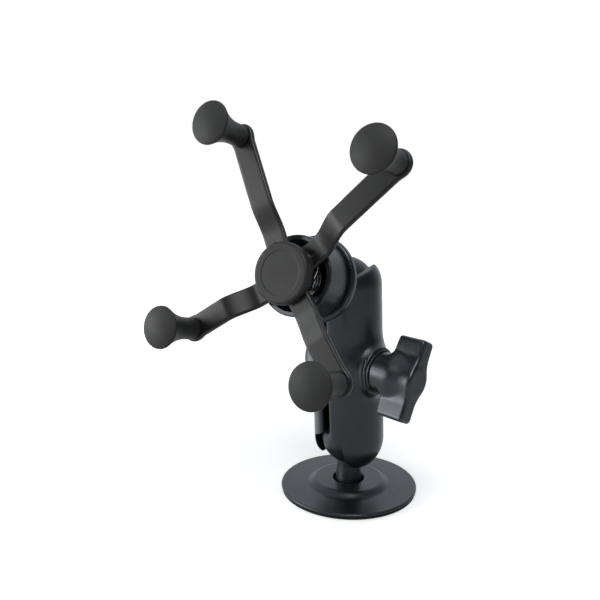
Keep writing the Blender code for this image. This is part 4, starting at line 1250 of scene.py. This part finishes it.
middle = (GRIP_BACK + GRIP_FRONT) / 2
half_way = GRIP_STEPS // 2
halves = (
    ("grip_coil_front", winding[half_way:] + front_leg, "rear_grip", middle, GRIP_FRONT - BLEND_INSET),
    ("grip_coil_rear", winding[: half_way + 1], "front_grip", middle, GRIP_BACK + BLEND_INSET),
)
for name, path, body, near, far in halves:
    half = placed(name, wire(name, path, CRADLE))
    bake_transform(half)
    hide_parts("grip_spring")
    print(name + ":", faces_of(half))
leg_wire = wire("grip_rear_leg", [winding[0]] + rear_leg, CRADLE)
leg = piece(leg_wire, PLATED_STEEL, "front_grip", "grip_spring")
print("rear leg:", faces_of(leg))

# %% [markdown]
# ### Pegs and flared caps
#
# A peg is riveted through each bar end, and a rubber cap is pushed over it. The cap is the piece that
# everyone notices: a straight stem that opens like a trumpet to a thin rim, with a slightly crowned face.
# The lathe could turn it, but its radius follows a power of the height, so the whole form is a rule, and a
# node tree draws it from named sizes and puts one on each peg of a bar.

# %% Sockets and fields of the cap tree
CAP_SIZES = {
    "Stem Radius": 4.4, "Flare Radius": 8.3, "Length": 19.35, "Stem Length": 5.0, "Rim": 0.8, "Crown": 1.5,
    "Bore Radius": 2.85, "Bore Depth": 13.25,
}
FLARE_POWER = 1.9

cap_inputs = [(label, "Float") for label in (*CAP_SIZES, "Flare Power")]
cap_inputs += [("Facing", "Vector"), ("Finish", "Material")]
cap_tree, size = new_tree("flared_cap", "Pegs", cap_inputs, "Caps")


def times(a, b):
    return maths(cap_tree, "MULTIPLY", a, b)


def plus(a, b):
    return maths(cap_tree, "ADD", a, b)


def minus(a, b):
    return maths(cap_tree, "SUBTRACT", a, b)


def over(a, b):
    return maths(cap_tree, "DIVIDE", a, b)


def power(a, b):
    return maths(cap_tree, "POWER", a, b)


def not_below_zero(a):
    return maths(cap_tree, "MAXIMUM", a, 0.0)


print("cap sizes:", CAP_SIZES)

# %% A skin that is turned by its fields
CAP_SIDES = 96


def turned_skin(rings, form):
    """A grid bent round the axis. form gets the field that runs from 0 to 1 along the skin, and gives back
    a radius and a height."""
    counts = {"in_Vertices_X": rings, "in_Vertices_Y": CAP_SIDES + 1}
    grid = add(cap_tree, "GeometryNodeMeshGrid", in_Size_X=1.0, in_Size_Y=1.0, **counts)
    position = add(cap_tree, "GeometryNodeInputPosition").outputs[0]
    flat = add(cap_tree, "ShaderNodeSeparateXYZ", in_0=position).outputs
    angle = times(plus(flat[1], 0.5), math.tau)
    radius, height = form(plus(flat[0], 0.5))
    x = times(radius, maths(cap_tree, "COSINE", angle))
    y = times(radius, maths(cap_tree, "SINE", angle))
    bent = add(cap_tree, "ShaderNodeCombineXYZ", in_0=x, in_1=y, in_2=height).outputs[0]
    skin = add(cap_tree, "GeometryNodeSetPosition", in_Geometry=grid.outputs[0], in_Position=bent)
    return skin.outputs[0]


print("a skin has", CAP_SIDES, "sides")

# %% Five skins of a cap
FOOT_ROUND = 0.35 * MM
FOOT_ROUND_HEIGHT = 0.5 * MM
RIM_DRAW_IN = 0.8


def outside(along):
    """Straight stem, then a power of the height up to the rim, drawn in over the rim by a quarter circle."""
    height = times(along, size["Length"])
    rim_start = minus(size["Length"], size["Rim"])
    opening = over(minus(height, size["Stem Length"]), minus(rim_start, size["Stem Length"]))
    opening = maths(cap_tree, "MINIMUM", not_below_zero(opening), 1.0)
    widening = times(power(opening, size["Flare Power"]), minus(size["Flare Radius"], size["Stem Radius"]))
    past_rim = over(not_below_zero(minus(height, rim_start)), size["Rim"])
    quarter = maths(cap_tree, "SQRT", not_below_zero(minus(1.0, times(past_rim, past_rim))))
    drawn_in = times(size["Rim"], times(minus(1.0, quarter), RIM_DRAW_IN))
    near_foot = not_below_zero(minus(1.0, over(height, FOOT_ROUND_HEIGHT)))
    foot_round = times(FOOT_ROUND, power(near_foot, 2.0))
    return minus(minus(plus(size["Stem Radius"], widening), drawn_in), foot_round), height


def crowned_face(along):
    inwards = minus(1.0, along)
    edge = minus(size["Flare Radius"], times(size["Rim"], RIM_DRAW_IN))
    crown = times(size["Crown"], minus(1.0, power(inwards, 2.0)))
    return times(inwards, edge), plus(size["Length"], crown)


def foot(along):
    edge = minus(size["Stem Radius"], FOOT_ROUND)
    return plus(size["Bore Radius"], times(along, minus(edge, size["Bore Radius"]))), 0.0


def bore(along):
    return size["Bore Radius"], times(minus(1.0, along), size["Bore Depth"])


def bore_end(along):
    return times(along, size["Bore Radius"]), size["Bore Depth"]


skins = add(cap_tree, "GeometryNodeJoinGeometry")
for rings, form in ((6, bore_end), (12, bore), (3, foot), (120, outside), (24, crowned_face)):
    cap_tree.links.new(turned_skin(rings, form), skins.inputs[0])
print("skins linked:", len(skins.inputs[0].links))

# %% One cap on each peg
WELD = 0.00001

welded = add(cap_tree, "GeometryNodeMergeByDistance", in_Geometry=skins.outputs[0], in_Distance=WELD)
smooth = add(cap_tree, "GeometryNodeSetShadeSmooth", in_Geometry=welded.outputs[0]).outputs[0]
where = {"in_Points": size["Pegs"], "in_Rotation": size["Facing"]}
copies = add(cap_tree, "GeometryNodeInstanceOnPoints", in_Instance=smooth, **where)
end_tree(cap_tree, copies.outputs[0], size["Finish"])

# %% Pegs and caps of both bars
CAP_BACK = 53.05
PEG_RADIUS = 2.6
PEG_TIP = 66.05
PEG_SHOULDER = 52.93
RIVET_RADIUS = 2.1
RIVET_HEAD = 4.3
RIVET_SEAT = 50.28
RIVET_BACK = 48.28
PEG_STEPS = 64

peg_corners = [
    (0, PEG_TIP, 0), (PEG_RADIUS, PEG_TIP, 0.8), (PEG_RADIUS, PEG_SHOULDER, 0.1),
    (RIVET_RADIUS, PEG_SHOULDER, 0.05), (RIVET_RADIUS, RIVET_SEAT, 0.05), (RIVET_HEAD, RIVET_SEAT, 0.15),
    (RIVET_HEAD, RIVET_BACK, 1.5), (0, RIVET_BACK, 0),
]
peg_profile = rounded(peg_corners)
cap_values = {label: value * MM for label, value in CAP_SIZES.items()}
cap_values |= {"Flare Power": FLARE_POWER, "Facing": tuple(CRADLE.to_euler()), "Finish": RUBBER}
for body, ends in (("rear_grip", REAR_ENDS), ("front_grip", FRONT_ENDS)):
    spots = [CRADLE @ (Vector((*PEGS[end], CAP_BACK)) * MM) for end in ends]
    caps_mesh = run_tree(cap_tree, f"{body}_caps", spots, cap_values)
    caps = piece(caps_mesh, RUBBER, body, *(f"peg_cap_{end}" for end in ends))
    for end in ends:
        place = CRADLE @ shift(*PEGS[end], 0)
        turned(f"rivet_{end}", peg_profile, place, BLACK_OXIDE, body, f"peg_{end}", steps=PEG_STEPS)
    print(body, "caps:", faces_of(caps))

# %% [markdown]
# ## Solids that stay
#
# The pivot bolt, its nut and the knob's insert are plain turned metal that hides inside the hub and the knob.
# They could be drawn again, but their solids are right as they are, so they only get a finish.

# %% Finishes on the carried solids
for node, finish in (("pivot_bolt", BLACK_OXIDE), ("pivot_nut", PLATED_STEEL), ("knob_insert", BRASS)):
    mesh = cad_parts[node].data
    mesh.materials.clear()
    mesh.materials.append(finish)
    print(node, "takes", finish.name)

# %% [markdown]
# ## Floor, light and camera
#
# Black plastic shows little but its reflections, so the room matters more than the lamps. It is white behind
# and on the left, which draws the sheen on the base and the thin bright outlines, and dark in front, which
# keeps the arm black. One low soft box on the left makes the highlights on the knob and the lower ball, and
# one above the camera lights the upper faces. The floor is pale and keeps the object's shadow. The camera's
# height, turn and lens come from fitting the view to the photograph.

# %% Floor
FLOOR_REACH = 4.0
FLOOR_LEVEL = -0.0003
FLOOR_GREY = (0.7, 0.7, 0.7, 1)
FLOOR_ROUGH = 0.9
WHITE_FROM = 0.08
WHITE_AT = 0.7
WHITE_NEAR = 0.46
MIRRORED = 0.9
WHITE = (1, 1, 1, 1)
BRIGHT_SIDE = Vector((-0.75, 0.60, 0.25)).normalized()


def towards_bright_side(tree, direction):
    """1 towards the bright side of the room and -1 away from it."""
    dot = add(tree, "ShaderNodeVectorMath", operation="DOT_PRODUCT", in_0=direction, in_1=BRIGHT_SIDE)
    return dot.outputs["Value"]


def seen_directly(tree, rays):
    return maths(tree, "MAXIMUM", rays["Is Camera Ray"], rays["Is Transmission Ray"])


corners = [(FLOOR_REACH * x, FLOOR_REACH * y, FLOOR_LEVEL) for x, y in ((-1, -1), (1, -1), (1, 1), (-1, 1))]
floor_mesh = bpy.data.meshes.new("floor")
floor_mesh.from_pydata(corners, [], [(0, 1, 2, 3)])
floor = placed("floor", floor_mesh)
floor_paint = bpy.data.materials.new("floor_paint")
floor_paint.use_nodes = True
floor_mesh.materials.append(floor_paint)
tree = floor_paint.node_tree
shader = tree.nodes["Principled BSDF"].inputs
shader["Base Color"].default_value = FLOOR_GREY
shader["Roughness"].default_value = FLOOR_ROUGH
shader["Emission Color"].default_value = WHITE
spot = add(tree, "ShaderNodeTexCoord").outputs["Object"]
away = add(tree, "ShaderNodeVectorMath", operation="LENGTH", in_0=spot).outputs["Value"]
lift = spread(tree, away, WHITE_FROM, WHITE_AT, WHITE_NEAR, 1.0)
heading = add(tree, "ShaderNodeVectorMath", operation="NORMALIZE", in_0=spot).outputs[0]
mirrored = spread(tree, towards_bright_side(tree, heading), -0.1, 0.7, 0.0, MIRRORED)
rays = add(tree, "ShaderNodeLightPath").outputs
in_gloss = maths(tree, "MINIMUM", rays["Is Glossy Ray"], mirrored)
seen = maths(tree, "MAXIMUM", seen_directly(tree, rays), in_gloss)
tree.links.new(maths(tree, "MULTIPLY", seen, lift), shader["Emission Strength"])
print("floor turns white with distance, and in reflections on the bright side")

# %% A room that is white behind and on the left
ROOM_TINT = (0.88, 0.94, 1.0, 1)
ROOM_DARK = 0.10
ROOM_LIGHT = 0.60
ROOM_GLOSS = 0.95

world = bpy.data.worlds.new("studio")
bpy.context.scene.world = world
world.use_nodes = True
tree = world.node_tree
background = tree.nodes["Background"].inputs
side = towards_bright_side(tree, add(tree, "ShaderNodeTexCoord").outputs["Generated"])
light = spread(tree, side, -0.5, 0.8, ROOM_DARK, ROOM_LIGHT)
gloss = spread(tree, side, -0.3, 0.6, ROOM_DARK, ROOM_GLOSS)
rays = add(tree, "ShaderNodeLightPath").outputs
level = add(tree, "ShaderNodeMix", in_0=rays["Is Glossy Ray"], in_2=light, in_3=gloss).outputs[0]
seen = seen_directly(tree, rays)
tint = add(tree, "ShaderNodeMix", data_type="RGBA", in_0=seen, in_6=ROOM_TINT, in_7=WHITE)
tree.links.new(tint.outputs[2], background["Color"])
tree.links.new(maths(tree, "MAXIMUM", seen, level), background["Strength"])
print("room is brightest towards", [round(v, 2) for v in BRIGHT_SIDE])

# %% Soft boxes
AIM = Vector((0, -0.02, 0.08))


def softbox(name, spot, width, height, watts):
    lamp = bpy.data.lights.new(name, "AREA")
    lamp.shape = "RECTANGLE"
    lamp.size = width
    lamp.size_y = height
    lamp.energy = watts
    box = placed(name, lamp)
    box.location = spot
    box.rotation_euler = (AIM - Vector(spot)).to_track_quat("-Z", "Y").to_euler()
    print(name, "gives", watts, "W")


softbox("broad_left", (-0.74, -0.62, 0.20), 0.75, 0.60, 8.5)
softbox("above_front", (0.25, -0.42, 0.76), 0.45, 0.45, 4.8)

# %% Camera
LENS = 39.2
CAMERA_SPOT = (0.1338, -0.2575, 0.1442)
LOOK_DOWN = 10.6
LOOK_LEFT = 32.0

camera_data = bpy.data.cameras.new("camera")
camera_data.sensor_width = 36
camera_data.lens = LENS
camera_data.clip_start = 0.01
camera = placed("camera", camera_data)
camera.location = CAMERA_SPOT
camera.rotation_euler = (math.radians(90 - LOOK_DOWN), 0, math.radians(LOOK_LEFT))
bpy.context.scene.camera = camera
bpy.context.scene.view_settings.view_transform = "Standard"
print("camera lens", LENS, "mm")
